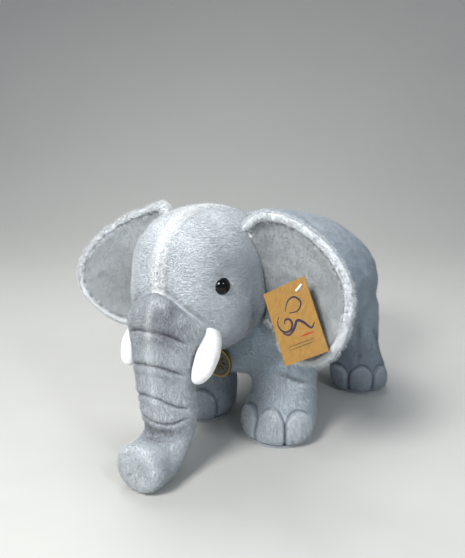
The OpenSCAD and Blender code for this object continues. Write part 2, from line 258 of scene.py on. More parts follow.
def smoothed(piece, times, factor=0.5):
    form = bmesh.new()
    form.from_mesh(piece.data)
    for _ in range(times):
        bmesh.ops.smooth_vert(
            form, verts=form.verts, factor=factor, use_axis_x=True, use_axis_y=True, use_axis_z=True
        )
    form.to_mesh(piece.data)
    form.free()
    return piece


def stuffed(piece, pressure, limit, frames=20):
    """Fills the closed fabric by pressure, and keeps each point within limit of where it was."""
    before = points_of(piece.data)
    cloth = piece.modifiers.new("Filling", "CLOTH")
    cloth.settings.quality = 5
    cloth.settings.use_pressure = True
    cloth.settings.uniform_pressure_force = pressure
    cloth.settings.effector_weights.gravity = 0
    cloth.collision_settings.use_collision = False
    scene = bpy.context.scene
    for frame in range(1, frames + 1):
        scene.frame_set(frame)
    applied(piece)
    moved = points_of(piece.data) - before
    far = np.linalg.norm(moved, axis=1)
    moved *= (np.minimum(far, limit) / np.maximum(far, 1e-9))[:, None]
    set_points(piece.data, before + moved)
    scene.frame_set(1)
    return piece


def refined(piece, levels=1):
    change = piece.modifiers.new("Finer", "SUBSURF")
    change.levels = change.render_levels = levels
    return applied(piece)


def refined_where(piece, wanted):
    """Cuts each edge in two where both of its ends are wanted."""
    form = bmesh.new()
    form.from_mesh(piece.data)
    form.verts.ensure_lookup_table()
    edges = [e for e in form.edges if wanted[e.verts[0].index] and wanted[e.verts[1].index]]
    bmesh.ops.subdivide_edges(form, edges=edges, cuts=1, use_grid_fill=True, smooth=0.6)
    form.to_mesh(piece.data)
    form.free()
    for face in piece.data.polygons:
        face.use_smooth = True
    return piece


def combed(normals, way, places=None):
    """The way the pile lies along the surface, nearest to the given directions and a little ruffled."""
    way = np.broadcast_to(np.asarray(way, float), normals.shape)
    if places is not None:
        way = way + 0.24 * np.stack([lumps(places, 0.018, seed) for seed in (1, 2, 9)], 1)
    flat = way - normals * (way * normals).sum(1)[:, None]
    return flat / np.maximum(np.linalg.norm(flat, axis=1), 1e-6)[:, None]


def painted(base, *layers):
    """Colours at each vertex: a base under (colour, share) layers."""
    count = len(layers[0][1])
    out = np.broadcast_to(np.asarray(base, float)[:3], (count, 3)).copy()
    for colour, share in layers:
        share = np.clip(share, 0, 1)[:, None]
        out = out * (1 - share) + np.asarray(colour, float)[:3] * share
    return np.concatenate([out, np.ones((count, 1))], 1)


# ---------------------------------------------------------------- materials


def shader(name):
    """A new material with its node helper: make(type, inputs..., links)."""
    material = bpy.data.materials.new(name)
    material.use_nodes = True
    tree = material.node_tree
    main = tree.nodes["Principled BSDF"]

    def make(kind, inputs=(), **facts):
        node = tree.nodes.new("ShaderNode" + kind)
        for key, value in facts.items():
            setattr(node, key, value)
        for socket, value in dict(inputs).items():
            if isinstance(value, bpy.types.NodeSocket):
                tree.links.new(value, node.inputs[socket])
            else:
                node.inputs[socket].default_value = value
        return node

    return material, main, make, tree.links.new


def own_place(make):
    return make("TexCoord").outputs["Object"]


def noise(make, place, scale, detail=3, roughness=0.55, stretch=None):
    if stretch:
        place = make("Mapping", {"Vector": place, "Scale": stretch}).outputs["Vector"]
    return make(
        "TexNoise", {"Vector": place, "Scale": scale, "Detail": detail, "Roughness": roughness}
    ).outputs["Fac"]


def spread(make, value, low, high, start=0.25, end=0.75):
    """Maps a value onto low to high."""
    return make(
        "MapRange", {"Value": value, "From Min": start, "From Max": end, "To Min": low, "To Max": high}
    ).outputs["Result"]


def times(make, colour, factor):
    return make(
        "VectorMath", {0: colour, 1: make("CombineXYZ", {0: factor, 1: factor, 2: factor}).outputs[0]},
        operation="MULTIPLY",
    ).outputs[0]


def product(make, a, b):
    return make("Math", {0: a, 1: b}, operation="MULTIPLY").outputs[0]


def plush_material(name, clump=1.0, relief=0.5, sheen=0.35):
    """Brushed pile fabric: its tint is at each vertex, with clumps, fine fibre grain and sheen."""
    material, main, make, link = shader(name)
    place = own_place(make)
    tint = make("Attribute", attribute_name="tint").outputs["Color"]
    clumps = noise(make, place, 240, 4, 0.6, (1, 1, 0.55))
    grain = noise(make, place, 900, 2, 0.6)
    patch = noise(make, place, 26, 2, 0.5)
    shade = product(
        make, spread(make, clumps, 1 - 0.12 * clump, 1 + 0.08 * clump), spread(make, grain, 0.9, 1.08)
    )
    shade = product(make, shade, spread(make, patch, 0.96, 1.04))
    link(times(make, tint, shade), main.inputs["Base Color"])
    link(spread(make, clumps, 0.86, 1.0), main.inputs["Roughness"])
    main.inputs["Specular IOR Level"].default_value = 0.2
    main.inputs["Sheen Weight"].default_value = sheen
    main.inputs["Sheen Roughness"].default_value = 0.45
    main.inputs["Sheen Tint"].default_value = (0.92, 0.96, 1.0, 1)
    height = make(
        "Math", {0: product(make, clumps, 1.6), 1: product(make, grain, 0.5)}, operation="ADD"
    ).outputs[0]
    bump = make("Bump", {"Height": height, "Strength": relief, "Distance": 0.0011})
    link(bump.outputs[0], main.inputs["Normal"])
    return material


def pile_material(name):
    """Single tufts: the fabric's tint, with painted shade that darkens each tuft towards its root."""
    material, main, make, link = shader(name)
    tint = make("Attribute", attribute_name="tint").outputs["Color"]
    height = make("Attribute", attribute_name="height").outputs["Fac"]
    strand = noise(make, own_place(make), 420, 2, 0.5)
    # painted shade: darker at the root of each tuft, lighter at its tip
    shade = product(make, spread(make, height, 0.88, 1.16, 0, 1), spread(make, strand, 0.93, 1.07))
    link(times(make, tint, shade), main.inputs["Base Color"])
    link(spread(make, strand, 0.75, 0.9), main.inputs["Roughness"])
    main.inputs["Specular IOR Level"].default_value = 0.25
    main.inputs["Sheen Weight"].default_value = 0.25
    main.inputs["Sheen Roughness"].default_value = 0.5
    return material


def grained(name, colour, roughness, scale=300, depth=0.06, relief=0.2, metal=0.0, coat=0.0, stretch=None):
    """A hard or woven finish: uneven colour, roughness and fine relief."""
    material, main, make, link = shader(name)
    fine = noise(make, own_place(make), scale, 4, 0.6, stretch)
    broad = noise(make, own_place(make), scale / 9, 2)
    shade = product(make, spread(make, fine, 1 - depth, 1 + depth), spread(make, broad, 1 - depth, 1 + depth))
    base = make("RGB")
    base.outputs[0].default_value = (*colour, 1)
    link(times(make, base.outputs[0], shade), main.inputs["Base Color"])
    link(spread(make, fine, roughness * 0.85, min(1, roughness * 1.15)), main.inputs["Roughness"])
    main.inputs["Metallic"].default_value = metal
    main.inputs["Coat Weight"].default_value = coat
    link(
        make("Bump", {"Height": fine, "Strength": relief, "Distance": 0.0003}).outputs[0],
        main.inputs["Normal"]
    )
    return material


def woven(name, colour, pitch=0.0006):
    """A plain weave of two crossed sets of threads."""
    material, main, make, link = shader(name)
    place = own_place(make)
    bands = 1 / pitch / 20
    one = make(
        "TexWave", {"Vector": place, "Scale": bands, "Distortion": 0.6}, bands_direction="X"
    ).outputs["Fac"]
    two = make(
        "TexWave", {"Vector": place, "Scale": bands, "Distortion": 0.6}, bands_direction="Z"
    ).outputs["Fac"]
    weave = make("Math", {0: one, 1: two}, operation="MAXIMUM").outputs[0]
    base = make("RGB")
    base.outputs[0].default_value = (*colour, 1)
    link(times(make, base.outputs[0], spread(make, weave, 0.86, 1.04, 0, 1)), main.inputs["Base Color"])
    link(spread(make, weave, 0.9, 0.6, 0, 1), main.inputs["Roughness"])
    main.inputs["Sheen Weight"].default_value = 0.3
    link(
        make("Bump", {"Height": weave, "Strength": 0.4, "Distance": 0.0002}).outputs[0], main.inputs["Normal"]
    )
    return material


def card_material(name):
    """Unbleached card with short fibres and specks."""
    material, main, make, link = shader(name)
    place = own_place(make)
    fibres = noise(make, place, 380, 5, 0.7, (1, 1, 0.35))
    specks = noise(make, place, 900, 2, 0.5)
    blend = make(
        "MixRGB",
        {"Fac": spread(make, fibres, 0, 1), 1: (*srgb(146, 108, 50), 1), 2: (*srgb(176, 136, 72), 1)}
    )
    dark = make(
        "MixRGB",
        {"Fac": spread(make, specks, 0, 0.5, 0.62, 0.78), 1: blend.outputs[0], 2: (*srgb(110, 76, 32), 1)}
    )
    link(dark.outputs[0], main.inputs["Base Color"])
    link(spread(make, fibres, 0.7, 0.9), main.inputs["Roughness"])
    link(
        make("Bump", {"Height": fibres, "Strength": 0.25, "Distance": 0.0002}).outputs[0],
        main.inputs["Normal"]
    )
    return material


def dress(piece, material):
    """Gives every face of a piece, or of a node of the frame, one material."""
    if not piece.material_slots:
        piece.data.materials.append(None)
    for place in piece.material_slots:
        place.link = "OBJECT"
        place.material = material


# ---------------------------------------------------------------- pile


def fibre_object(width, bent):
    """One tuft of fibres, a thin cone one unit long that stands on the origin."""
    form = bmesh.new()
    bmesh.ops.create_cone(form, cap_ends=True, segments=3, radius1=width / 2, radius2=0, depth=1)
    bmesh.ops.translate(form, verts=form.verts, vec=(0, 0, 0.5))
    if bent:
        sides = [e for e in form.edges if abs(e.verts[0].co.z - e.verts[1].co.z) > 0.5]
        bmesh.ops.subdivide_edges(form, edges=sides, cuts=1)
        for vert in form.verts:
            if 0.2 < vert.co.z < 0.8:
                vert.co.x -= 0.0006
    piece = new_object("fibre_form", form)
    store(piece.data, "height", points_of(piece.data)[:, 2])
    piece.hide_render = True
    return piece


def pile_tree(fibre, density, length, seed, lift, wild):
    """Nodes that stand tufts on a mesh where its thick attribute is above 0, laid along its comb."""
    tree = bpy.data.node_groups.new("Pile", "GeometryNodeTree")
    tree.interface.new_socket("Geometry", in_out="INPUT", socket_type="NodeSocketGeometry")
    tree.interface.new_socket("Geometry", in_out="OUTPUT", socket_type="NodeSocketGeometry")

    def make(kind, inputs=(), **facts):
        node = tree.nodes.new(kind)
        for key, value in facts.items():
            setattr(node, key, value)
        for socket, value in dict(inputs).items():
            if isinstance(value, bpy.types.NodeSocket):
                tree.links.new(value, node.inputs[socket])
            else:
                node.inputs[socket].default_value = value
        return node

    def named(name, kind="FLOAT"):
        return make("GeometryNodeInputNamedAttribute", {"Name": name}, data_type=kind).outputs["Attribute"]

    def chance(low, high, extra):
        node = make("FunctionNodeRandomValue", {"Seed": seed + extra}, data_type="FLOAT")
        node.inputs[2].default_value, node.inputs[3].default_value = low, high
        return node.outputs[1]

    def vector(operation, a, b):
        return make("ShaderNodeVectorMath", {0: a, 1: b}, operation=operation).outputs[0]

    def scaled(a, by):
        node = make("ShaderNodeVectorMath", {0: a}, operation="SCALE")
        if isinstance(by, bpy.types.NodeSocket):
            tree.links.new(by, node.inputs["Scale"])
        else:
            node.inputs["Scale"].default_value = by
        return node.outputs[0]

    start, end = make("NodeGroupInput"), make("NodeGroupOutput")
    many = make("ShaderNodeMath", {0: named("thick"), 1: density}, operation="MULTIPLY").outputs[0]
    spots = make(
        "GeometryNodeDistributePointsOnFaces",
        {"Mesh": start.outputs[0], "Density": many, "Seed": seed},
        distribute_method="RANDOM",
    )
    stray = make("FunctionNodeRandomValue", {"Seed": seed + 5}, data_type="FLOAT_VECTOR")
    stray.inputs[0].default_value, stray.inputs[1].default_value = (-wild,) * 3, (wild,) * 3
    way = vector("ADD", scaled(spots.outputs["Normal"], lift), named("comb", "FLOAT_VECTOR"))
    way = vector("ADD", way, stray.outputs[0])
    turn = make("FunctionNodeAlignRotationToVector", {"Vector": way}, axis="Z")
    tall = make(
        "ShaderNodeMath", {0: named("tall"), 1: chance(0.65 * length, 1.15 * length, 1)}, operation="MULTIPLY"
    )
    size = make("ShaderNodeCombineXYZ", {0: 1.0, 1: 1.0, 2: tall.outputs[0]}).outputs[0]
    shape = make("GeometryNodeObjectInfo", {"Object": fibre})
    tufts = make(
        "GeometryNodeInstanceOnPoints",
        {
            "Points": spots.outputs["Points"],
            "Instance": shape.outputs["Geometry"],
            "Rotation": turn.outputs[0],
            "Scale": size,
        },
    )
    shaded = scaled(named("tint", "FLOAT_VECTOR"), chance(0.8, 1.16, 2))
    kept = make(
        "GeometryNodeStoreNamedAttribute",
        {"Geometry": tufts.outputs[0], "Name": "tint", "Value": shaded},
        data_type="FLOAT_VECTOR",
        domain="INSTANCE",
    )
    real = make("GeometryNodeRealizeInstances", {"Geometry": kept.outputs[0]})
    tree.links.new(real.outputs[0], end.inputs[0])
    return tree


def pile_on(name, piece, where, length, seed, lift=0.5, wild=0.36, density=1.0, bent=False):
    """Stands a pile on a fabric piece, where `where` is above 0, as a piece of its own."""
    pile = bpy.context.scene.plush_pile
    base = piece.data.copy()
    store(base, "thick", np.clip(where, 0, 1))
    if "tall" not in base.attributes:
        store(base, "tall", np.ones(len(base.vertices)))
    made = bpy.data.objects.new(name, base)
    bpy.context.scene.collection.objects.link(made)
    fibre = fibre_object(pile.width, bent)
    grow = made.modifiers.new("Pile", "NODES")
    grow.node_group = pile_tree(fibre, pile.density * density, length, seed, lift, wild)
    applied(made)
    bpy.data.objects.remove(fibre)
    made.data.name = name
    for extra in ("comb", "thick", "tall"):
        if extra in made.data.attributes:
            made.data.attributes.remove(made.data.attributes[extra])
    made.data.materials.clear()
    dress(made, shared("pile", pile_material))
    return made


def shared(name, maker, *facts, **more):
    """The material of that name, made the first time it is asked for."""
    return bpy.data.materials.get(name) or maker(name, *facts, **more)


# ---------------------------------------------------------------- the head


HEAD_MIDDLE = np.array([0, -91, 158]) * MM
HEAD_HALF_W = 51 * MM
HEAD_REACH = {"front": 61 * MM, "back": 70 * MM, "up": 64 * MM, "down": 58 * MM}
GUSSET = 7.5 * MM
EYE = np.array([42, -124, 167]) * MM
TRUNK_ROOT = {"z": 134 * MM, "half_w": 36.5 * MM, "half_h": 30.5 * MM, "point": 1.45}


def neck_y(z):
    return -0.054 + 0.2 * (z - 0.160)


def head_place(u, v):
    """Rings across the head, from cheek to cheek."""
    x = HEAD_HALF_W * np.sin((u - 0.5) * math.pi)
    left = np.clip(1 - (np.abs(x) / HEAD_HALF_W) ** 2.6, 0, 1) ** (1 / 2.4)
    c, s = np.cos(v * 2 * math.pi), np.sin(v * 2 * math.pi)
    deep = np.where(c > 0, HEAD_REACH["back"], HEAD_REACH["front"])
    high = np.where(s > 0, HEAD_REACH["up"], HEAD_REACH["down"])
    z = HEAD_MIDDLE[2] + high * left * signed_power(s, 2 / 2.4)
    y = HEAD_MIDDLE[1] + deep * left * signed_power(c, 2 / 2.4)
    return np.stack([x, np.minimum(y, neck_y(z) - 0.5 * MM), z], 1)


def head_gap(p):
    """How far points lie outside the head's surface, in metres."""
    q = p - HEAD_MIDDLE
    deep = np.where(q[:, 1] > 0, HEAD_REACH["back"], HEAD_REACH["front"])
    high = np.where(q[:, 2] > 0, HEAD_REACH["up"], HEAD_REACH["down"])
    total = (
        np.abs(q[:, 0] / HEAD_HALF_W) ** 2.6 + np.abs(q[:, 1] / deep) ** 2.4 + np.abs(q[:, 2] / high) ** 2.4
    )
    return (total ** (1 / 2.4) - 1) * 58 * MM


def trunk_gap(p):
    """How far points of the face lie outside the trunk's root, in metres."""
    high = (p[:, 2] - TRUNK_ROOT["z"]) / TRUNK_ROOT["half_h"]
    power = np.where(high > 0, TRUNK_ROOT["point"], 2)
    reach = (np.abs(p[:, 0] / TRUNK_ROOT["half_w"]) ** power + np.abs(high) ** power) ** (1 / power)
    return (reach - 1) * 30 * MM


class PLUSH_OT_head(bpy.types.Operator):
    """Makes the stuffed head with its pale gusset, seams and pile."""

    bl_idname = "plush.head"
    bl_label = "Head"

    def execute(self, context):
        fabrics, pile, stitching = settings()
        piece = new_object("head_plush", rolled(118, 190, head_place))
        smoothed(piece, 2)
        p, n = points_of(piece.data), normals_of(piece.data)
        front = ramp(-0.02, -0.09, p[:, 1])
        upper = ramp(0.120, 0.150, p[:, 2])
        x = np.abs(p[:, 0])
        seam = bell(x - GUSSET, 1.6 * MM) * upper
        stripe = ramp(GUSSET + 2 * MM, GUSSET - 2 * MM, x + 0.8 * MM * lumps(p, 0.006, 8)) * upper
        socket = bell(np.linalg.norm(np.abs(p) - np.abs(EYE), axis=1), 9 * MM) * (p[:, 1] < -0.08)
        cheek = bell(np.linalg.norm((np.abs(p) - [0.044, 0.118, 0.128]) / [1, 1, 1.2], axis=1), 22 * MM)
        temple = bell(np.linalg.norm(np.abs(p) - [0.051, 0.096, 0.166], axis=1), 15 * MM)
        brow = bell(np.linalg.norm(np.abs(p) - [0.034, 0.128, 0.188], axis=1), 15 * MM)
        jaw, _ = line_distance(np.abs(p), [[0.02, 0.10, 0.103], [0.045, 0.085, 0.118], [0.052, 0.06, 0.135]])
        out = (
            -0.5 * stitching.seam * seam
            + 0.8 * MM * stripe
            - 1.6 * MM * socket
            + 2.2 * MM * cheek
            + 1.4 * MM * brow
            + 0.5 * MM * lumps(p, 0.035, 3)
            - 1.2 * MM * bell(jaw, 3 * MM)
            - 1.7 * MM * bell(trunk_gap(p), 1.9 * MM) * front
        )
        p = p + n * out[:, None]
        p[:, 1] = np.minimum(p[:, 1], neck_y(p[:, 2]) - 0.5 * MM)
        set_points(piece.data, p)
        n = normals_of(piece.data)
        edge = trunk_gap(p)
        # Painted shade round the trunk's root on the face: a dark line along the seam and a broader mottled
        # shade around it.
        crease_shade = front * (0.4 * bell(edge, 1.3 * MM) + bell(edge, 8 * MM) * (0.1 + 0.14 * lumps(p, 0.02, 4)))
        warm = ramp(0.2, 1.0, lumps(p, 0.02, 5)) * 0.08
        tint = painted(
            fabrics.head,
            (fabrics.stripe, stripe * 0.95),
            # painted light: the top of the head paler
            (fabrics.stripe, 0.35 * ramp(0.19, 0.22, p[:, 2])),
            (fabrics.airbrush_and_shade, 0.1 * seam * front),
            (fabrics.airbrush_and_shade, np.maximum(crease_shade, 0)),
            # painted shade in the sunk eye sockets
            (fabrics.airbrush_and_shade, 0.16 * socket),
            (fabrics.airbrush_and_shade, 0.2 * temple * (0.7 + 0.3 * lumps(p, 0.012, 6))),
            (fabrics.stripe, warm),
        )
        store(piece.data, "tint", tint)
        way = np.stack(
            [np.sign(p[:, 0]) * 0.35, np.full(len(p), 0.9), 0.5 - 1.2 * ramp(0.17, 0.21, p[:, 2])], 1
        )
        store(piece.data, "comb", combed(n, way, p))
        store(piece.data, "tall", 1 + 0.25 * lumps(p, 0.03, 7))
        dress(piece, shared("plush", plush_material))
        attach(piece, "root")
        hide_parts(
            "head_skin_left", "head_skin_right", "forehead_gusset", "chin_panel", "head_stuffing"
        )
        in_trunk = ramp(1.5 * MM, 0, edge) * front
        by_eye = (np.linalg.norm(np.abs(p) - np.abs(EYE), axis=1) < 8.1 * MM) & (p[:, 1] < -0.09)
        at_neck = ramp(1.2 * MM, 0.4 * MM, neck_y(p[:, 2]) - p[:, 1])
        free = (1 - in_trunk) * (1 - at_neck) * ~by_eye
        short = pile_on("head_pile", piece, free * (1 - stripe), pile.short, 11)
        fluffy = pile_on(
            "stripe_pile", piece, free * stripe, pile.long * 0.7, 12, lift=0.5, wild=0.42, bent=True
        )
        for part, finish in ((short, "head_plush"), (fluffy, "white_plush")):
            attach(part, "root")
        return {"FINISHED"}


# ---------------------------------------------------------------- the trunk

# Rows of [y, z, tilt in degrees, half width, half depth], in mm, from inside the face to the tip
TRUNK = [
    [-128, 137, 10, 36.5, 29.5], [-138, 135, 14, 36.5, 31], [-147, 129, 30, 34.5, 31],
    [-148, 114, 62, 30, 22.5],
    [-146.5, 99, 82, 28, 19.5], [-145, 84, 80, 27, 19], [-143, 70, 86, 26, 19], [-142, 57, 90, 25, 19],
    [-141, 46, 88, 22.8, 19], [-143, 35, 70, 21.3, 19.2], [-151, 26, 40, 21.3, 20],
    [-163, 21.3, 12, 21.5, 20.5],
    [-175, 20.8, 3, 22, 20.5], [-182, 20.6, 0, 21.2, 19.8],
]
# Folds over the front of the trunk: points [x, y, z] along each, in mm, and the share of the full depth
TRUNK_FOLDS = [
    (
        [
            [-24, -151, 127], [-12, -163.6, 132.4], [0.5, -165.2, 134.6], [11.8, -163.7, 133.2],
            [21.9, -159.6, 130.3], [31, -150, 123]
        ],
        1.0
    ),
    (
        [[-25, -150, 99], [-8.3, -164, 104.2], [2.2, -164.9, 105.4], [16.2, -161.2, 103.6], [27, -151, 97]],
        0.95
    ),
    ([[-25, -148, 70], [-10, -160, 76], [4, -163, 76.5], [17, -158, 71], [26, -146, 67]], 0.9),
    ([[-24, -143, 55], [-10, -157, 55], [4, -161, 53.5], [18, -155, 55], [25, -142, 60]], 0.8),
]


def trunk_place(u, v):
    row = along(TRUNK, np.clip(u * 1.06 - 0.03, 0, 1))
    close = np.sqrt(np.clip(1 - (np.maximum(u - 0.93, 0) / 0.07) ** 2.6, 0, 1)) * (u > 0.001)
    past = np.clip(u - 0.93, 0, 1) / 0.07
    tilt = np.radians(row[:, 2])
    a = v * 2 * math.pi
    round_it = ramp(0.12, 0.4, u)
    power = np.where(np.sin(a) > 0, 2 / (TRUNK_ROOT["point"] * (1 - round_it) + 2 * round_it), 1)
    x = row[:, 3] * close * signed_power(np.cos(a), power)
    up = row[:, 4] * close * signed_power(np.sin(a), power)
    y = row[:, 0] - up * np.sin(tilt) - past * 4.5
    z = row[:, 1] + up * np.cos(tilt)
    return np.stack([x, y, z], 1) * MM


class PLUSH_OT_trunk(bpy.types.Operator):
    """Makes the stuffed trunk with its sewn folds and curled tip."""

    bl_idname = "plush.trunk"
    bl_label = "Trunk"

    def execute(self, context):
        fabrics, pile, stitching = settings()
        piece = new_object("trunk_plush", rolled(210, 130, trunk_place))
        smoothed(piece, 3)
        p, n = points_of(piece.data), normals_of(piece.data)
        folds, crease_shade, lips = np.zeros(len(p)), np.zeros(len(p)), np.zeros(len(p))
        for line, deep in TRUNK_FOLDS:
            flat = along(np.array(line) * [1, 0, 1] * MM, np.linspace(0, 1, 25))
            gap, share = line_distance(p * [1, 0, 1], flat)
            fade = ramp(0, 0.16, share) * ramp(1, 0.84, share) * ramp(0.1, -0.3, n[:, 1])
            folds += deep * fade * bell(gap, 1.15 * MM)
            lips += deep * fade * bell(gap - 4.5 * MM, 3 * MM)
            # Painted shade in the trunk's folds: a dark line in each fold and a broader shade around it.
            crease_shade = np.maximum(crease_shade, deep * fade * (0.75 * bell(gap, 1.3 * MM) + 0.24 * bell(gap, 6 * MM)))
        rise = ramp(0.045, 0.075, p[:, 2])
        forward = ramp(-0.140, -0.158, p[:, 1])
        ridge = bell(p[:, 0] - 3 * MM, 3.2 * MM) * rise * forward * ramp(0.162, 0.150, p[:, 2])
        tip = ramp(-0.172, -0.184, p[:, 1])
        across = p[:, 0] / (21 * MM)
        over = (p[:, 2] - 20.6 * MM) / (20 * MM)
        toe = tip * bell(np.hypot(across - 0.35, over - 0.7), 0.5)
        dimple = tip * bell(np.hypot(across - 0.1, over + 0.05), 0.45)
        hollow, _ = line_distance(p, np.array([[-14, -158, 44], [0, -163, 42.5], [12, -158, 44]]) * MM)
        sides, _ = line_distance(
            np.stack([np.abs(p[:, 0]), p[:, 1], p[:, 2]], 1),
            np.array([[21, -150, 44], [22, -142, 80], [26, -146, 110]]) * MM
        )
        out = (
            -stitching.fold * folds
            + 0.9 * MM * lips
            + 0.9 * MM * ridge
            + 2.6 * MM * toe
            - 1.4 * MM * dimple
            - 2.6 * MM * bell(hollow, 6 * MM)
            - 1.3 * MM * bell(head_gap(p), 2.6 * MM)
            - 0.6 * MM * bell(sides, 3 * MM)
            + 0.55 * MM * lumps(p, 0.026, 21)
        )
        p = p + n * out[:, None]
        p[:, 2] = np.maximum(p[:, 2], 0.4 * MM)
        set_points(piece.data, p)
        n = normals_of(piece.data)
        mottle = 0.72 + 0.22 * lumps(p, 0.02, 22) + 0.12 * lumps(p, 0.007, 24)
        top = ramp(0.112, 0.135, p[:, 2]) * forward * mottle
        off = head_gap(p)
        # Painted shade along the trunk's root where it meets the face.
        face_edge = bell(off, 1.5 * MM)
        flanks = bell(np.abs(p[:, 0]) - 16 * MM, 9 * MM) * ramp(0.06, 0.10, p[:, 2]) * forward * mottle
        specks = ramp(0.7, 1.3, lumps(p, 0.0035, 23)) * ramp(-0.160, -0.176, p[:, 1])
        tint = painted(
            fabrics.head,
            (fabrics.airbrush_and_shade, 0.62 * top * ramp(-14 * MM, 8 * MM, p[:, 0])),
            (fabrics.airbrush_and_shade, 0.22 * top),
            (fabrics.airbrush_and_shade, 0.3 * flanks),
            (fabrics.airbrush_and_shade, 0.9 * crease_shade * (0.75 + 0.25 * mottle)),
            (fabrics.airbrush_and_shade, 0.4 * face_edge),
            # painted shade in the hollow above the curled tip
            (fabrics.airbrush_and_shade, 0.5 * bell(hollow, 8 * MM)),
            (fabrics.airbrush_and_shade, 0.5 * specks),
            (fabrics.stripe, 0.45 * ridge),
            (fabrics.stripe, 0.25 * tip * (1 - specks)),
        )
        store(piece.data, "tint", tint)
        curl = ramp(0.06, 0.03, p[:, 2])
        down = np.stack([np.zeros(len(p)), -0.25 - 0.9 * curl, -1 + 0.9 * curl - 0.8 * tip], 1)
        store(piece.data, "comb", combed(n, down, p))
        store(piece.data, "tall", 0.85 - 0.5 * np.clip(folds, 0, 1))
        dress(piece, shared("plush", plush_material))
        inside = ramp(0, 2 * MM, off)
        fluff = pile_on(
            "trunk_pile", piece, inside * ramp(3 * MM, 6 * MM, p[:, 2]), pile.short, 31, density=1.05
        )
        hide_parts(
            "trunk_skin", "trunk_stuffing", "trunk_tip_skin", "trunk_tip_stuffing", "trunk_tip_disc"
        )
        for part in (piece, fluff):
            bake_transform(part)
        return {"FINISHED"}


# ---------------------------------------------------------------- tusks

TUSK = [
    [32, -124, 134, 0.6], [34, -127, 130, 0.85], [36.5, -131, 123, 1], [38, -136, 115, 1.02],
    [38.5, -141, 108, 0.98],
    [38, -146, 101, 0.84], [37, -149.5, 96, 0.6], [36.3, -151.2, 93.3, 0.33], [36, -151.8, 92.4, 0.0],
]


class PLUSH_OT_tusks(bpy.types.Operator):
    """Makes the two short white tusks."""

    bl_idname = "plush.tusks"
    bl_label = "Tusks"

    def execute(self, context):
        fabrics, _, _ = settings()
        lean = math.radians(40)
        for side, name in ((1, "left"), (-1, "right")):

            def place(u, v, side=side):
                row = along(TUSK, u ** 0.9)
                r = 9.6 * np.clip(row[:, 3], 0, 2) * (u > 0.001)
                a = v * 2 * math.pi
                up = r * np.sin(a)
                x = row[:, 0] + r * np.cos(a)
                return np.stack(
                    [side * x, row[:, 1] - up * math.cos(lean), row[:, 2] + up * math.sin(lean)], 1
                ) * MM

            piece = new_object(f"tusk_{name}_plush", rolled(70, 48, place))
            smoothed(piece, 3)
            p, n = points_of(piece.data), normals_of(piece.data)
            seam = bell(n @ np.array([0, math.sin(lean), math.cos(lean)]), 0.1)
            p = p + n * (0.25 * lumps(p, 0.012, 41) - 0.35 * seam)[:, None] * MM
            set_points(piece.data, p)
            n = normals_of(piece.data)
            root = ramp(0.112, 0.124, p[:, 2])
            tint = painted(fabrics.tusk, (fabrics.airbrush_and_shade, 0.12 * root), (fabrics.head, 0.12 * seam))
            store(piece.data, "tint", tint)
            dress(piece, shared("tusk_fabric", plush_material, clump=0.35, relief=0.2))
            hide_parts(f"tusk_{name}")
            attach(piece, "root")
        return {"FINISHED"}


# ---------------------------------------------------------------- ears

EAR_ROOT = np.array(
    [[44, -62, 121], [50, -62, 137], [51, -65, 155], [48, -72, 178], [43, -80, 194], [33, -88, 201]]
)
EAR_RIM = np.array([
    [62, -67, 107], [72, -72, 100], [84, -80, 98], [104, -90, 101], [122, -98, 112], [135, -104, 128],
    [141, -104, 145], [141, -98, 162], [133, -90, 179], [117, -81, 194], [97, -74, 206], [78, -70, 213],
    [62, -74, 218], [50, -84, 218], [37, -91, 205],
])
# Half of an ear's thickness and the width of its fluffy rim, in mm
EAR_HALF = 4.6
EAR_BAND = 7
# The line the tag's lower edge hangs over, where the rim's pile is kept short
TAG_EDGE = [[96, 0, 106], [131, 0, 127]]


def ear_sheet(v, w):
    root, rim = along(EAR_ROOT, v), along(EAR_RIM, v)
    w = np.asarray(w)[:, None]
    hollow = 7 * 4 * w * (1 - w)
    return root * (1 - w) + rim * w + np.array([0.35, 0.94, 0]) * hollow


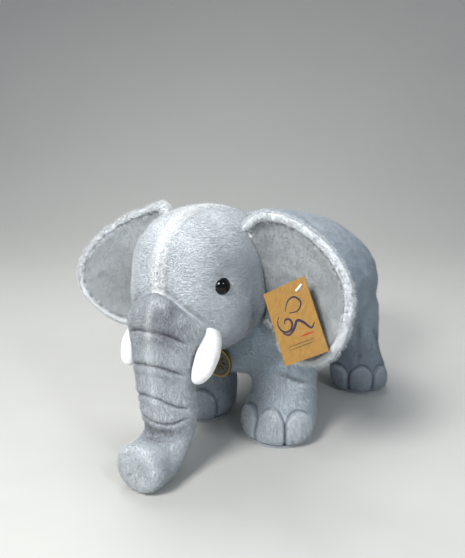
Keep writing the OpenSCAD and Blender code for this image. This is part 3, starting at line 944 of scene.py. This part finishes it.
class PLUSH_OT_ears(bpy.types.Operator):
    """Makes the two cupped ears: velvet inside, fluffy rims and backs."""

    bl_idname = "plush.ears"
    bl_label = "Ears"

    def ear(self, side, name):
        fabrics, pile, _ = settings()
        outline = np.concatenate([
            ear_sheet(np.zeros(12), np.linspace(0, 1, 12)),
            ear_sheet(np.linspace(0, 1, 90), np.ones(90)),
            ear_sheet(np.ones(12), np.linspace(1, 0, 12)),
        ])

        def place(u, v):
            front = v < 0.5
            w = np.where(front, 2 * v, 2 - 2 * v)
            w = 1 - (1 - w) ** 1.35
            flat = ear_sheet(u, w)
            edge, _ = line_distance(flat, outline)
            step = 0.004
            du = ear_sheet(np.clip(u + step, 0, 1), w) - ear_sheet(np.clip(u - step, 0, 1), w)
            dw = ear_sheet(u, np.clip(w + step, 0, 1)) - ear_sheet(u, np.clip(w - step, 0, 1))
            out = np.cross(du, dw)
            out /= np.maximum(np.linalg.norm(out, axis=1), 1e-9)[:, None]
            out *= -np.sign(out[:, 1])[:, None]
            round_it = np.sqrt(np.clip(1 - (1 - np.clip(edge / EAR_HALF, 0, 1)) ** 2, 0, 1))
            puff = 0.9 - 0.45 * ramp(0.93, 1, u) * ramp(0.5, 0.8, w)
            half = EAR_HALF * round_it * puff
            flat = flat + out * (half * np.where(front, 1, -1))[:, None]
            return flat * [side, 1, 1] * MM

        piece = new_object(f"ear_{name}_plush", rolled(170, 150, place))
        smoothed(piece, 3)
        p, n = points_of(piece.data), normals_of(piece.data)
        mirrored = p * [side, 1, 1] / MM
        edge, _ = line_distance(mirrored, outline)
        front = ramp(0.0, -0.25, n[:, 1])
        root_gap, _ = line_distance(mirrored, EAR_ROOT)
        valley = bell(edge - EAR_BAND, 1.3) * front * ramp(6, 14, root_gap)
        inner = ramp(
            EAR_BAND - 0.5, EAR_BAND + 1, edge + 1.4 * lumps(p, 0.006, 51) + 0.8 * lumps(p, 0.0025, 61)
        ) * front
        crumple = lumps(p * [1, 1, 0.7], 0.05, 52)
        out = -1.2 * valley + 0.9 * crumple * ramp(6, 25, edge) + 0.35 * lumps(p, 0.014, 53)
        set_points(piece.data, p + n * out[:, None] * MM)
        p, n = points_of(piece.data), normals_of(piece.data)
        # Painted shade deep inside the cupped ear, darker towards its root.
        deep = ramp(45, 5, root_gap) * front
        tint = painted(
            fabrics.head,
            (fabrics.stripe, 0.66 * (1 - inner) * ramp(16, 6, edge)),
            (fabrics.velvet, inner),
            (fabrics.airbrush_and_shade, 0.42 * valley),
            (fabrics.airbrush_and_shade, 0.3 * deep * inner),
            (fabrics.airbrush_and_shade, 0.12 * ramp(0, 1, lumps(p, 0.022, 57)) * inner),
            (fabrics.stripe, 0.10 * ramp(0.2, 1, lumps(p, 0.03, 54)) * inner),
        )
        store(piece.data, "tint", tint)
        outward = np.stack([side * (mirrored[:, 0] - 62), mirrored[:, 1] + 75, mirrored[:, 2] - 158], 1)
        outward /= np.maximum(np.linalg.norm(outward, axis=1), 1e-6)[:, None]
        inwards = (front * ramp(EAR_BAND + 3, EAR_BAND - 6, edge))[:, None]
        ruffled = np.stack([lumps(p, 0.006, seed) for seed in (58, 59, 60)], 1)
        store(piece.data, "comb", combed(n, outward * (1 - 1.2 * inwards) + 0.16 * ruffled))
        by_tag, _ = line_distance(mirrored * [1, 0, 1], TAG_EDGE)
        tall = np.clip(0.85 + 0.2 * lumps(p, 0.01, 55) + 0.25 * lumps(p, 0.004, 56), 0.3, 1.4)
        store(piece.data, "tall", tall * (1 - 0.85 * bell(by_tag, 16) * front))
        dress(piece, shared("plush", plush_material))
        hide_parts(f"ear_{name}_front", f"ear_{name}_wadding", f"ear_{name}_back")
        free = ramp(1.5, 4, root_gap)
        band = (1 - inner) * ramp(14, 8, edge)
        rim = pile_on(
            f"ear_{name}_rim_pile", piece, free * band, pile.long, 61, lift=0.34, wild=0.34, density=1.0,
            bent=True
        )
        nap = pile_on(
            f"ear_{name}_velvet_pile", piece, free * inner, pile.short * 0.55, 62, lift=0.7, density=0.8
        )
        rear = pile_on(
            f"ear_{name}_back_pile", piece, free * (1 - inner) * (1 - band), pile.short * 1.1, 63, density=0.8
        )
        for part, finish in (
            (piece, "ear_back_plush"), (rim, "ear_back_plush"), (nap, "ear_velvet"), (rear, "ear_back_plush")
        ):
            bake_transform(part)

    def execute(self, context):
        self.ear(1, "left")
        self.ear(-1, "right")
        return {"FINISHED"}


# ---------------------------------------------------------------- body and legs

# Rows of [y, half width, top, bottom], in mm
BODY = [
    [-70, 6, 106, 96], [-66, 30, 136, 74], [-58, 49, 160, 65], [-44, 64, 185, 60], [-20, 76, 201, 57],
    [20, 84, 207, 56], [60, 87.5, 202, 57], [100, 84, 194, 61], [130, 76, 186, 68], [152, 62, 176, 79],
    [165, 45, 167, 92], [171, 26, 157, 106], [173, 6, 144, 124],
]
LEG_LINE = [
    [0.0, 0.8], [0.03, 0.9], [0.1, 0.985], [0.22, 1], [0.38, 0.95], [0.54, 0.87], [0.66, 0.85], [0.8, 0.88],
    [1.0, 0.93], [1.3, 0.93]
]
LEGS = {
    "front": {"foot": (46, -34), "top": (45, -16), "r": 35, "turn": 14},
    "rear": {"foot": (67, 117), "top": (54, 116), "r": 31, "turn": 24},
}
TOE_ARC = 53


def body_place(u, v):
    s = 0.5 - 0.5 * np.cos(u * math.pi)
    row = along(BODY, 0.6 * u + 0.4 * s)
    a = v * 2 * math.pi
    middle, half = (row[:, 2] + row[:, 3]) / 2, (row[:, 2] - row[:, 3]) / 2
    closed = (u > 0.001) & (u < 0.999)
    power = np.where(np.cos(a) > 0, 2 / 1.65, 2 / 2.2)
    x = row[:, 1] * signed_power(np.sin(a), power) * closed
    z = middle + half * signed_power(np.cos(a), power) * closed
    y = np.maximum(row[:, 0], neck_y(z * MM) / MM + 0.6)
    return np.stack([x, y, z], 1) * MM


def leg_place(leg, side):
    def place(u, v):
        row = along(LEG_LINE, u)
        high = 1 + 79 * row[:, 0]
        foot, top = np.array(leg["foot"]), np.array(leg["top"])
        share = np.clip(row[:, 0], 0, 1)[:, None]
        middle = foot * (1 - share) + top * share
        r = leg["r"] * row[:, 1] * ((u > 0.001) & (u < 0.999))
        a = v * 2 * math.pi
        return np.stack([side * (middle[:, 0] + r * np.cos(a)), middle[:, 1] + r * np.sin(a), high], 1) * MM

    return place


def toes(p, leg, side):
    """Shares of the toes' swell and of the grooves round them, over the front of one foot."""
    x, y = side * p[:, 0] / MM - leg["foot"][0], p[:, 1] / MM - leg["foot"][1]
    turned = np.degrees(np.arctan2(x, -y)) - leg["turn"]
    near = ramp(leg["r"] + 13, leg["r"] + 9, np.hypot(x, y)) * ramp(
        leg["r"] * 0.55, leg["r"] * 0.75, np.hypot(x, y)
    )
    near *= side * p[:, 0] > 0
    index = np.clip(np.round(turned / TOE_ARC), -1, 1)
    local = (turned - index * TOE_ARC) / (TOE_ARC / 2)
    arch = leg["r"] * 1.08 * (1 - 0.08 * np.abs(index)) * np.sqrt(
        np.clip(1 - (np.abs(local) / 1.25) ** 2.4, 0, 1)
    )
    z = p[:, 2] / MM
    inside = ramp(1.0, 0.9, np.abs(local)) * ramp(arch + 1, arch - 3, z)
    swell = near * inside * np.sqrt(np.clip(1 - local**2, 0, 1)) * np.sqrt(
        np.clip(z / arch.clip(1, None), 0.15, 1)
    )
    side_gap = np.abs(np.abs(local) - 1) * TOE_ARC / 2 * math.pi / 180 * leg["r"]
    groove = bell(side_gap, 1.6) * ramp(arch + 2, arch - 1, z) * (np.abs(turned) < 1.6 * TOE_ARC)
    over = 0.7 * bell(z - arch, 1.5) * (np.abs(local) < 1.05)
    return swell, near * np.maximum(groove, over * 0.9)


class PLUSH_OT_body(bpy.types.Operator):
    """Makes the stuffed body and legs as one sewn form, filled by pressure, with toes and folds."""

    bl_idname = "plush.body"
    bl_label = "Body and legs"

    def execute(self, context):
        fabrics, pile, stitching = settings()
        form = rolled(60, 72, body_place)
        for leg in LEGS.values():
            for side in (1, -1):
                part = rolled(34, 40, leg_place(leg, side))
                extra = bpy.data.meshes.new("leg")
                part.to_mesh(extra)
                part.free()
                form.from_mesh(extra)
                bpy.data.meshes.remove(extra)
        piece = new_object("body_plush", form)
        remeshed(piece, 5 * MM)
        smoothed(piece, 5)
        stuffed(piece, 4, stitching.fill)
        smoothed(piece, 1)
        refined(piece)
        p = points_of(piece.data)
        foot = np.zeros(len(p), bool)
        for leg in LEGS.values():
            for side in (1, -1):
                x, y = p[:, 0] / MM - side * leg["foot"][0], p[:, 1] / MM - leg["foot"][1]
                foot |= (p[:, 2] < 46 * MM) & (np.hypot(x, y) < leg["r"] + 12) & (y < leg["r"] * 0.5)
        refined_where(piece, foot)
        smoothed(piece, 1)
        p, n = points_of(piece.data), normals_of(piece.data)
        swell, groove = np.zeros(len(p)), np.zeros(len(p))
        for leg in LEGS.values():
            for side in (1, -1):
                one, two = toes(p, leg, side)
                swell, groove = np.maximum(swell, one), np.maximum(groove, two)
        folds, crease_shade = np.zeros(len(p)), np.zeros(len(p))
        lines = [
            (
                [[44, -52, 72], [54, -50, 69], [62, -46, 66], [70, -38, 61], [78, -26, 57], [80, -11, 55]],
                3.4, 2.0
            ),
            ([[38, -46, 101], [48, -48, 92], [61, -42, 84], [70, -30, 79]], 1.2, 4.0),
            ([[61, -43, 100], [61, -46, 68], [54, -54, 54], [47, -61, 46]], 1.0, 1.5),
            ([[68, 94, 112], [70.4, 94.6, 84], [73, 92, 58], [75, 90.5, 31]], 2.2, 3.0),
            ([[80, 110, 75], [84, 118, 62], [84, 130, 52], [78, 140, 47]], 1.2, 3.5),
        ]
        for line, deep, wide in lines:
            for copy in both_sides(line):
                gap, share = line_distance(p, along(copy, np.linspace(0, 1, 17)))
                cut = bell(gap, wide * MM) * ramp(0, 0.2, share) * ramp(1, 0.8, share)
                folds += deep * cut
                # Painted shade in the folds of the body and legs.
                crease_shade = np.maximum(crease_shade, cut)
        spine = bell(p[:, 0], 1.4 * MM) * ramp(0.14, 0.17, p[:, 2])
        out = (
            -folds
            - stitching.toe / MM * groove
            + 4.6 * swell
            - stitching.seam / MM * 0.7 * spine
            + 1.3 * lumps(p, 0.055, 71) * ramp(0.03, 0.06, p[:, 2])
            + 0.5 * lumps(p, 0.02, 72)
        )
        p = p + n * out[:, None] * MM
        p[:, 2] = np.maximum(p[:, 2], 0.9 * MM)
        behind = (p[:, 2] > 0.085) & (p[:, 1] < 0)
        p[:, 1] = np.where(behind, np.maximum(p[:, 1], neck_y(p[:, 2]) + 0.4 * MM), p[:, 1])
        set_points(piece.data, p)
        n = normals_of(piece.data)
        legs = ramp(0.075, 0.055, p[:, 2])
        knees = bell(
            np.linalg.norm((np.abs(p) - [0.060, 0.047, 0.076]) / [1, 1, 1.1], axis=1), 15 * MM
        ) * (p[:, 1] < 0)
        mottle = 0.55 + 0.45 * lumps(p, 0.012, 73)
        tint = painted(
            fabrics.body,
            # painted light: the top of the back paler
            (fabrics.head, 0.55 * ramp(0.15, 0.2, p[:, 2])),
            # painted light and shade on the lower legs: the front ones paler, the rear ones darker
            (fabrics.head, 0.55 * legs * (p[:, 1] < 0.03)),
            (fabrics.airbrush_and_shade, 0.16 * legs * (p[:, 1] > 0.03)),
            (fabrics.airbrush_and_shade, 0.4 * crease_shade),
            (fabrics.airbrush_and_shade, 0.5 * knees * mottle),
            # painted shade in the grooves between the toes
            (fabrics.airbrush_and_shade, 0.3 * groove),
            (fabrics.stripe, 0.25 * swell),
            (fabrics.airbrush_and_shade, 0.2 * spine),
        )
        store(piece.data, "tint", tint)
        way = np.stack([np.zeros(len(p)), 1 - 0.9 * legs, -0.35 - 0.8 * legs], 1)
        store(piece.data, "comb", combed(n, way, p))
        store(piece.data, "tall", 0.95 + 0.2 * lumps(p, 0.03, 74) - 0.6 * np.clip(groove, 0, 1))
        dress(piece, shared("plush", plush_material))
        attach(piece, "root")
        skins = [f"{kind}_{end}_{side}" for kind in ("leg_skin", "leg_stuffing", "toe_cap")
                 for end in ("front", "rear") for side in ("left", "right")]
        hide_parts("body_skin_left", "body_skin_right", "belly_panel", "body_stuffing", *skins)
        free = ramp(4 * MM, 7 * MM, p[:, 2])
        trunk = ramp(0.062, 0.068, p[:, 2])
        left = ramp(-0.5 * MM, 0.5 * MM, p[:, 0])
        for name, where, seed in (
            ("body_left_pile", trunk * left, 81), ("body_right_pile", trunk * (1 - left), 82),
            ("leg_pile", free * (1 - trunk), 83),
        ):
            part = pile_on(name, piece, where, pile.short, seed, density=0.95)
            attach(part, "root")
        return {"FINISHED"}


# ---------------------------------------------------------------- tail


class PLUSH_OT_tail(bpy.types.Operator):
    """Makes the hanging tail and its tuft."""

    bl_idname = "plush.tail"
    bl_label = "Tail"

    def execute(self, context):
        fabrics, pile, _ = settings()
        low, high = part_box("tail_cord")
        middle = (low[0] + high[0]) / 2
        top = np.array([middle, high[1] - 6 * MM, high[2] - 4 * MM])
        end = np.array([middle, high[1] - 4 * MM, low[2] - 1.2 * MM])

        path = [
            top + np.array(step) * MM for step in (
                (0, -14, 3.5), (0, -9, 5), (0, -4, 3.5), (0, -0.5, -2), (0, 0.6, -14)
            )
        ]
        path += [(top + end) / 2 + [0, 1.2 * MM, 0], end]

        def cord(u, v):
            line = along(path, u)
            ahead = along(path, np.clip(u + 0.03, 0, 1)) - along(path, np.clip(u - 0.03, 0, 1))
            ahead /= np.linalg.norm(ahead, axis=1)[:, None]
            r = along([[4.8], [4.6], [3.9], [3.5]], u)[:, 0] * MM
            close = np.sqrt(np.clip(1 - (np.maximum(np.abs(u - 0.5) - 0.46, 0) / 0.04) ** 2, 0, 1))
            a = v * 2 * math.pi
            round_it = np.stack([np.cos(a), -np.sin(a) * ahead[:, 2], np.sin(a) * ahead[:, 1]], 1)
            return line + round_it * (r * close)[:, None]

        low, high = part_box("tail_tuft")
        tuft_top = np.array([(low[0] + high[0]) / 2, (low[1] + high[1]) / 2, high[2] + 1.5 * MM])
        long = tuft_top[2] - low[2]

        def tuft(u, v):
            r = along([[0.0], [3.6], [4.6], [6.2], [6.8], [5.4], [3.0], [0.0]], u)[:, 0] * MM
            a = v * 2 * math.pi
            r = r * (1 + 0.08 * np.sin(7 * a))
            return tuft_top + np.stack([r * np.cos(a), r * np.sin(a), -long * u], 1)

        for name, form, slot in (
            ("tail", rolled(70, 32, cord), "body_plush"), ("tuft", rolled(50, 42, tuft), "tuft_plush")
        ):
            piece = new_object(f"{name}_plush", form)
            p, n = points_of(piece.data), normals_of(piece.data)
            seam = bell(n[:, 0], 0.12) * (n[:, 1] < 0) if name == "tail" else np.zeros(len(p))
            set_points(piece.data, p + n * (0.3 * lumps(p, 0.01, 91) - 0.5 * seam)[:, None] * MM)
            dark = 0.45 if name == "tuft" else 0.0
            store(
                piece.data, "tint",
                painted(fabrics.body, (fabrics.airbrush_and_shade, dark + 0.15 * lumps(p, 0.006, 92) + 0.2 * seam))
            )
            store(piece.data, "comb", combed(n, (0, 0, -1)))
            dress(piece, shared("plush", plush_material))
            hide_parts("tail_cord" if name == "tail" else "tail_tuft")
            length = pile.short * 0.8 if name == "tail" else pile.long * 1.6
            fluff = pile_on(
                f"{name}_pile", piece,
                ramp(end[2], end[2] + 5 * MM, p[:, 2]) if name == "tail" else np.ones(len(p)), length, 93,
                lift=0.3 if name == "tuft" else 0.45,
                wild=0.22, density=1.3, bent=name == "tuft",
            )
            for part in (piece, fluff):
                if name == "tail":
                    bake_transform(part)
                else:
                    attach(part, "tuft")
        return {"FINISHED"}


# ---------------------------------------------------------------- tag, medallion and small parts

TAG_HOLE = np.array([98, -98, 168]) * MM
TAG_TURN = (12, -6)
# Size of the card and the distance of its hole from two edges, in mm
TAG_W, TAG_H, TAG_INSET = 41, 60, 7


def tag_axes():
    """The card's right, up and outward directions."""
    tilt, turn = math.radians(90 - TAG_TURN[0]), math.radians(TAG_TURN[1])
    right = Vector((math.cos(turn), math.sin(turn), 0))
    up = Vector((-math.sin(turn) * math.cos(tilt), math.cos(turn) * math.cos(tilt), math.sin(tilt)))
    return right, up, right.cross(up)


class PLUSH_OT_tag(bpy.types.Operator):
    """Makes the print of the swing tag, a plain flourish and rules, and dresses its card and bar."""

    bl_idname = "plush.tag"
    bl_label = "Swing tag"

    def execute(self, context):
        right, up, out = tag_axes()
        roll = math.atan((TAG_W / 2 - TAG_INSET) / (TAG_H / 2 - TAG_INSET))
        across = right * math.cos(roll) + up * math.sin(roll)
        above = up * math.cos(roll) - right * math.sin(roll)
        hole = Vector(TAG_HOLE)

        def on_card(x, y, lift=0.9):
            """Place of a point of the card, in mm from its lower left corner."""
            return hole + (across * (x + TAG_INSET - TAG_W) + above * (y + TAG_INSET - TAG_H) + out * lift) * MM

        def ribbon(form, path, width):
            """A thin raised line of ink along a path."""
            path = along(path, np.linspace(0, 1, 60))
            before = None
            for k, (x, y) in enumerate(path):
                step = path[min(k + 1, 59)] - path[max(k - 1, 0)]
                step /= max(np.hypot(*step), 1e-9)
                half = width / 2 * (0.35 + 0.65 * math.sin(math.pi * k / 59))
                pair = [
                    form.verts.new(
                        on_card(x - step[1] * half * s, y + step[0] * half * s, 0.86)
                    ) for s in (-1, 1)
                ]
                if before:
                    form.faces.new((before[0], pair[0], pair[1], before[1]))
                before = pair

        turns = np.linspace(0, 2.3 * math.pi, 16)
        curl = [
            (13 + (9 - 1.05 * t) * math.cos(t + 2.2), 31 + (9 - 1.05 * t) * math.sin(t + 2.2)) for t in turns
        ]
        wave = [(7, 25), (12, 22), (18, 25), (23, 30), (28, 27), (33, 21), (37, 24)]
        leaf = [(15, 40), (20, 47), (27, 48), (31, 42), (26, 37), (18, 38)]
        for name, lines, ink in (
            ("tag_flourish", [(curl[::-1], 1.9), (wave, 2.3), (leaf, 1.5)], srgb(48, 40, 62)),
            (
                "tag_rules",
                [([(8, 13), (20, 13), (33, 13)], 0.5), ([(8, 10.5), (20, 10.5), (33, 10.5)], 0.5)],
                srgb(60, 46, 34)
            ),
            ("tag_accent", [([(22, 17.6), (28, 17.6), (34, 17.6)], 1.3)], srgb(168, 44, 34)),
        ):
            form = bmesh.new()
            for path, width in lines:
                ribbon(form, path, width)
            bmesh.ops.recalc_face_normals(form, faces=form.faces)
            if form.faces and sum((f.normal.dot(out) for f in form.faces)) < 0:
                bmesh.ops.reverse_faces(form, faces=form.faces)
            bmesh.ops.solidify(form, geom=form.faces[:], thickness=0.05 * MM)
            bmesh.ops.recalc_face_normals(form, faces=form.faces)
            piece = new_object(name, form, smooth=False)
            dress(piece, grained(name, ink, 0.6, depth=0.1))
            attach(piece, "tag")
        dress(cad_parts["hang_tag"], card_material("card"))
        dress(
            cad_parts["tag_fastener"],
            grained("clear_white", srgb(240, 240, 238), 0.3, depth=0.03, coat=0.3)
        )
        return {"FINISHED"}


class PLUSH_OT_trims(bpy.types.Operator):
    """Dresses the eyes, the medallion, the thread, the label, the soles and the washers."""

    bl_idname = "plush.trims"
    bl_label = "Eyes and trims"

    def execute(self, context):
        black = grained("eye_black", srgb(5, 5, 6), 0.05, scale=60, depth=0.2, relief=0.0)
        black.node_tree.nodes["Principled BSDF"].inputs["IOR"].default_value = 1.36
        enamel = grained("dark_enamel", srgb(30, 29, 25), 0.35, scale=500, depth=0.15, relief=0.3, coat=0.4)
        gilt = grained("gilt", srgb(150, 122, 64), 0.4, scale=500, depth=0.1, relief=0.15, metal=1.0)
        finishes = {
            "medallion_disc": enamel, "medallion_rim": gilt, "medallion_hanger": gilt,
            "throat_thread": grained(
                "twisted_thread", srgb(176, 150, 90), 0.8, scale=2500, depth=0.25, relief=0.6
            ),
            "care_label": woven("label_satin", srgb(240, 240, 238)),
        }
        for side in ("left", "right"):
            finishes[f"eye_{side}"] = black
            finishes[f"eye_washer_{side}"] = grained(f"washer_{side}", srgb(232, 230, 224), 0.5)
            for end in ("front", "rear"):
                finishes[f"sole_{end}_{side}"] = shared(
                    "sole_fabric", grained, srgb(168, 174, 180), 0.95, scale=800, depth=0.12, relief=0.5
                )
        for node, material in finishes.items():
            dress(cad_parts[node], material)
        disc_low, disc_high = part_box("medallion_disc")
        face = Vector(((disc_low[0] + disc_high[0]) / 2, disc_low[1], (disc_low[2] + disc_high[2]) / 2))
        form = bmesh.new()
        for k in range(24):
            angle = 2 * math.pi * k / 24
            bead = bmesh.ops.create_icosphere(form, subdivisions=1, radius=0.55 * MM)["verts"]
            spot = face + Vector((math.cos(angle), 0, math.sin(angle))) * 10.2 * MM
            bmesh.ops.translate(form, verts=bead, vec=spot)
        for k in range(8):
            angle = 2 * math.pi * k / 8
            petal = bmesh.ops.create_icosphere(form, subdivisions=2, radius=1 * MM)["verts"]
            bmesh.ops.scale(form, verts=petal, vec=(3.1, 0.5, 1.2))
            bmesh.ops.rotate(form, verts=petal, cent=(0, 0, 0), matrix=Matrix.Rotation(-angle, 3, "Y"))
            bmesh.ops.translate(
                form, verts=petal, vec=face + Vector((math.cos(angle), 0, math.sin(angle))) * 5 * MM
            )
        piece = new_object("medallion_relief", form)
        dress(
            piece, grained("dark_bronze", srgb(92, 78, 46), 0.4, scale=600, depth=0.2, relief=0.3, metal=0.8)
        )
        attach(piece, "medallion")
        return {"FINISHED"}


# ---------------------------------------------------------------- stage


class PLUSH_OT_stage(bpy.types.Operator):
    """Makes the floor, the soft studio lights and the camera."""

    bl_idname = "plush.stage"
    bl_label = "Stage"

    def execute(self, context):
        form = bmesh.new()
        bmesh.ops.create_grid(form, x_segments=1, y_segments=60, size=4)
        for vert in form.verts:
            turn = math.radians(90) * min(max((vert.co.y - 0.2) / 1.6, 0), 1)
            rise = max(vert.co.y - 1.8, 0)
            if vert.co.y > 0.2:
                vert.co.y = 0.2 + 1.1 * math.sin(turn)
                vert.co.z = 1.1 * (1 - math.cos(turn)) + rise
        bmesh.ops.rotate(
            form, verts=form.verts, cent=(0, 0, 0), matrix=Matrix.Rotation(math.radians(33.5), 3, "Z")
        )
        bmesh.ops.translate(form, verts=form.verts, vec=(-0.35, 0.5, 0))
        bmesh.ops.recalc_face_normals(form, faces=form.faces)
        floor = new_object("floor", form)
        dress(floor, grained("floor_paint", srgb(200, 200, 196), 0.8, scale=30, depth=0.012, relief=0.0))
        context.scene.view_settings.view_transform = "Standard"
        world = bpy.data.worlds.new("studio")
        world.use_nodes = True
        world.node_tree.nodes["Background"].inputs[0].default_value = (0.86, 0.92, 1.0, 1)
        world.node_tree.nodes["Background"].inputs[1].default_value = 0.36
        context.scene.world = world
        for name, spot, aim, size, power, colour in (
            ("key", (0.02, -0.89, 0.81), (0, -0.06, 0.13), 0.34, 10.5, (1, 0.99, 0.97)),
            ("top", (-0.4, 0.3, 1.3), (0, 0.05, 0.15), 0.9, 10.5, (1, 1, 1)),
            ("fill", (0.76, -0.38, 0.81), (0.02, -0.08, 0.15), 0.16, 2.0, (0.88, 0.94, 1)),
        ):
            lamp = bpy.data.lights.new(name, "AREA")
            lamp.shape = "DISK"
            lamp.size = size
            lamp.energy = power
            lamp.color = colour
            made = bpy.data.objects.new(name, lamp)
            made.location = spot
            made.rotation_euler = (Vector(aim) - Vector(spot)).to_track_quat("-Z", "Y").to_euler()
            context.scene.collection.objects.link(made)
        lens = bpy.data.cameras.new("camera")
        lens.lens = 40
        lens.sensor_width = 36
        lens.clip_start = 0.01
        camera = bpy.data.objects.new("camera", lens)
        camera.location = (0.3090, -0.51115, 0.29265)
        way, dip = math.radians(33.5), math.radians(14.33158)
        look = Vector((-math.sin(way) * math.cos(dip), math.cos(way) * math.cos(dip), -math.sin(dip)))
        camera.rotation_euler = look.to_track_quat("-Z", "Y").to_euler()
        context.scene.collection.objects.link(camera)
        context.scene.camera = camera
        return {"FINISHED"}


# ---------------------------------------------------------------- add-on


class PLUSH_PT_panel(bpy.types.Panel):
    """Lists the fabrics, the pile, the stitching and the pieces."""

    bl_idname = "PLUSH_PT_panel"
    bl_label = "Plush Elephant"
    bl_space_type = "VIEW_3D"
    bl_region_type = "UI"
    bl_category = "Plush Elephant"

    def draw(self, context):
        for group in settings():
            box = self.layout.box()
            for name in group.__annotations__:
                box.prop(group, name)
        for operator in OPERATORS:
            self.layout.operator(operator.bl_idname)


GROUPS = {"plush_fabrics": PlushFabrics, "plush_pile": PlushPile, "plush_stitching": PlushStitching}
OPERATORS = (
    PLUSH_OT_stage, PLUSH_OT_head, PLUSH_OT_trunk, PLUSH_OT_tusks, PLUSH_OT_ears,
    PLUSH_OT_body, PLUSH_OT_tail, PLUSH_OT_tag, PLUSH_OT_trims,
)


def register():
    for kind in (*GROUPS.values(), *OPERATORS, PLUSH_PT_panel):
        bpy.utils.register_class(kind)
    for name, kind in GROUPS.items():
        setattr(bpy.types.Scene, name, bpy.props.PointerProperty(type=kind))


def unregister():
    for name in GROUPS:
        delattr(bpy.types.Scene, name)
    for kind in reversed((*GROUPS.values(), *OPERATORS, PLUSH_PT_panel)):
        bpy.utils.unregister_class(kind)


def main():
    register()
    for operator in OPERATORS:
        group, name = operator.bl_idname.split(".")
        getattr(getattr(bpy.ops, group), name)()
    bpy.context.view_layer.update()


if __name__ == "__main__":
    main()
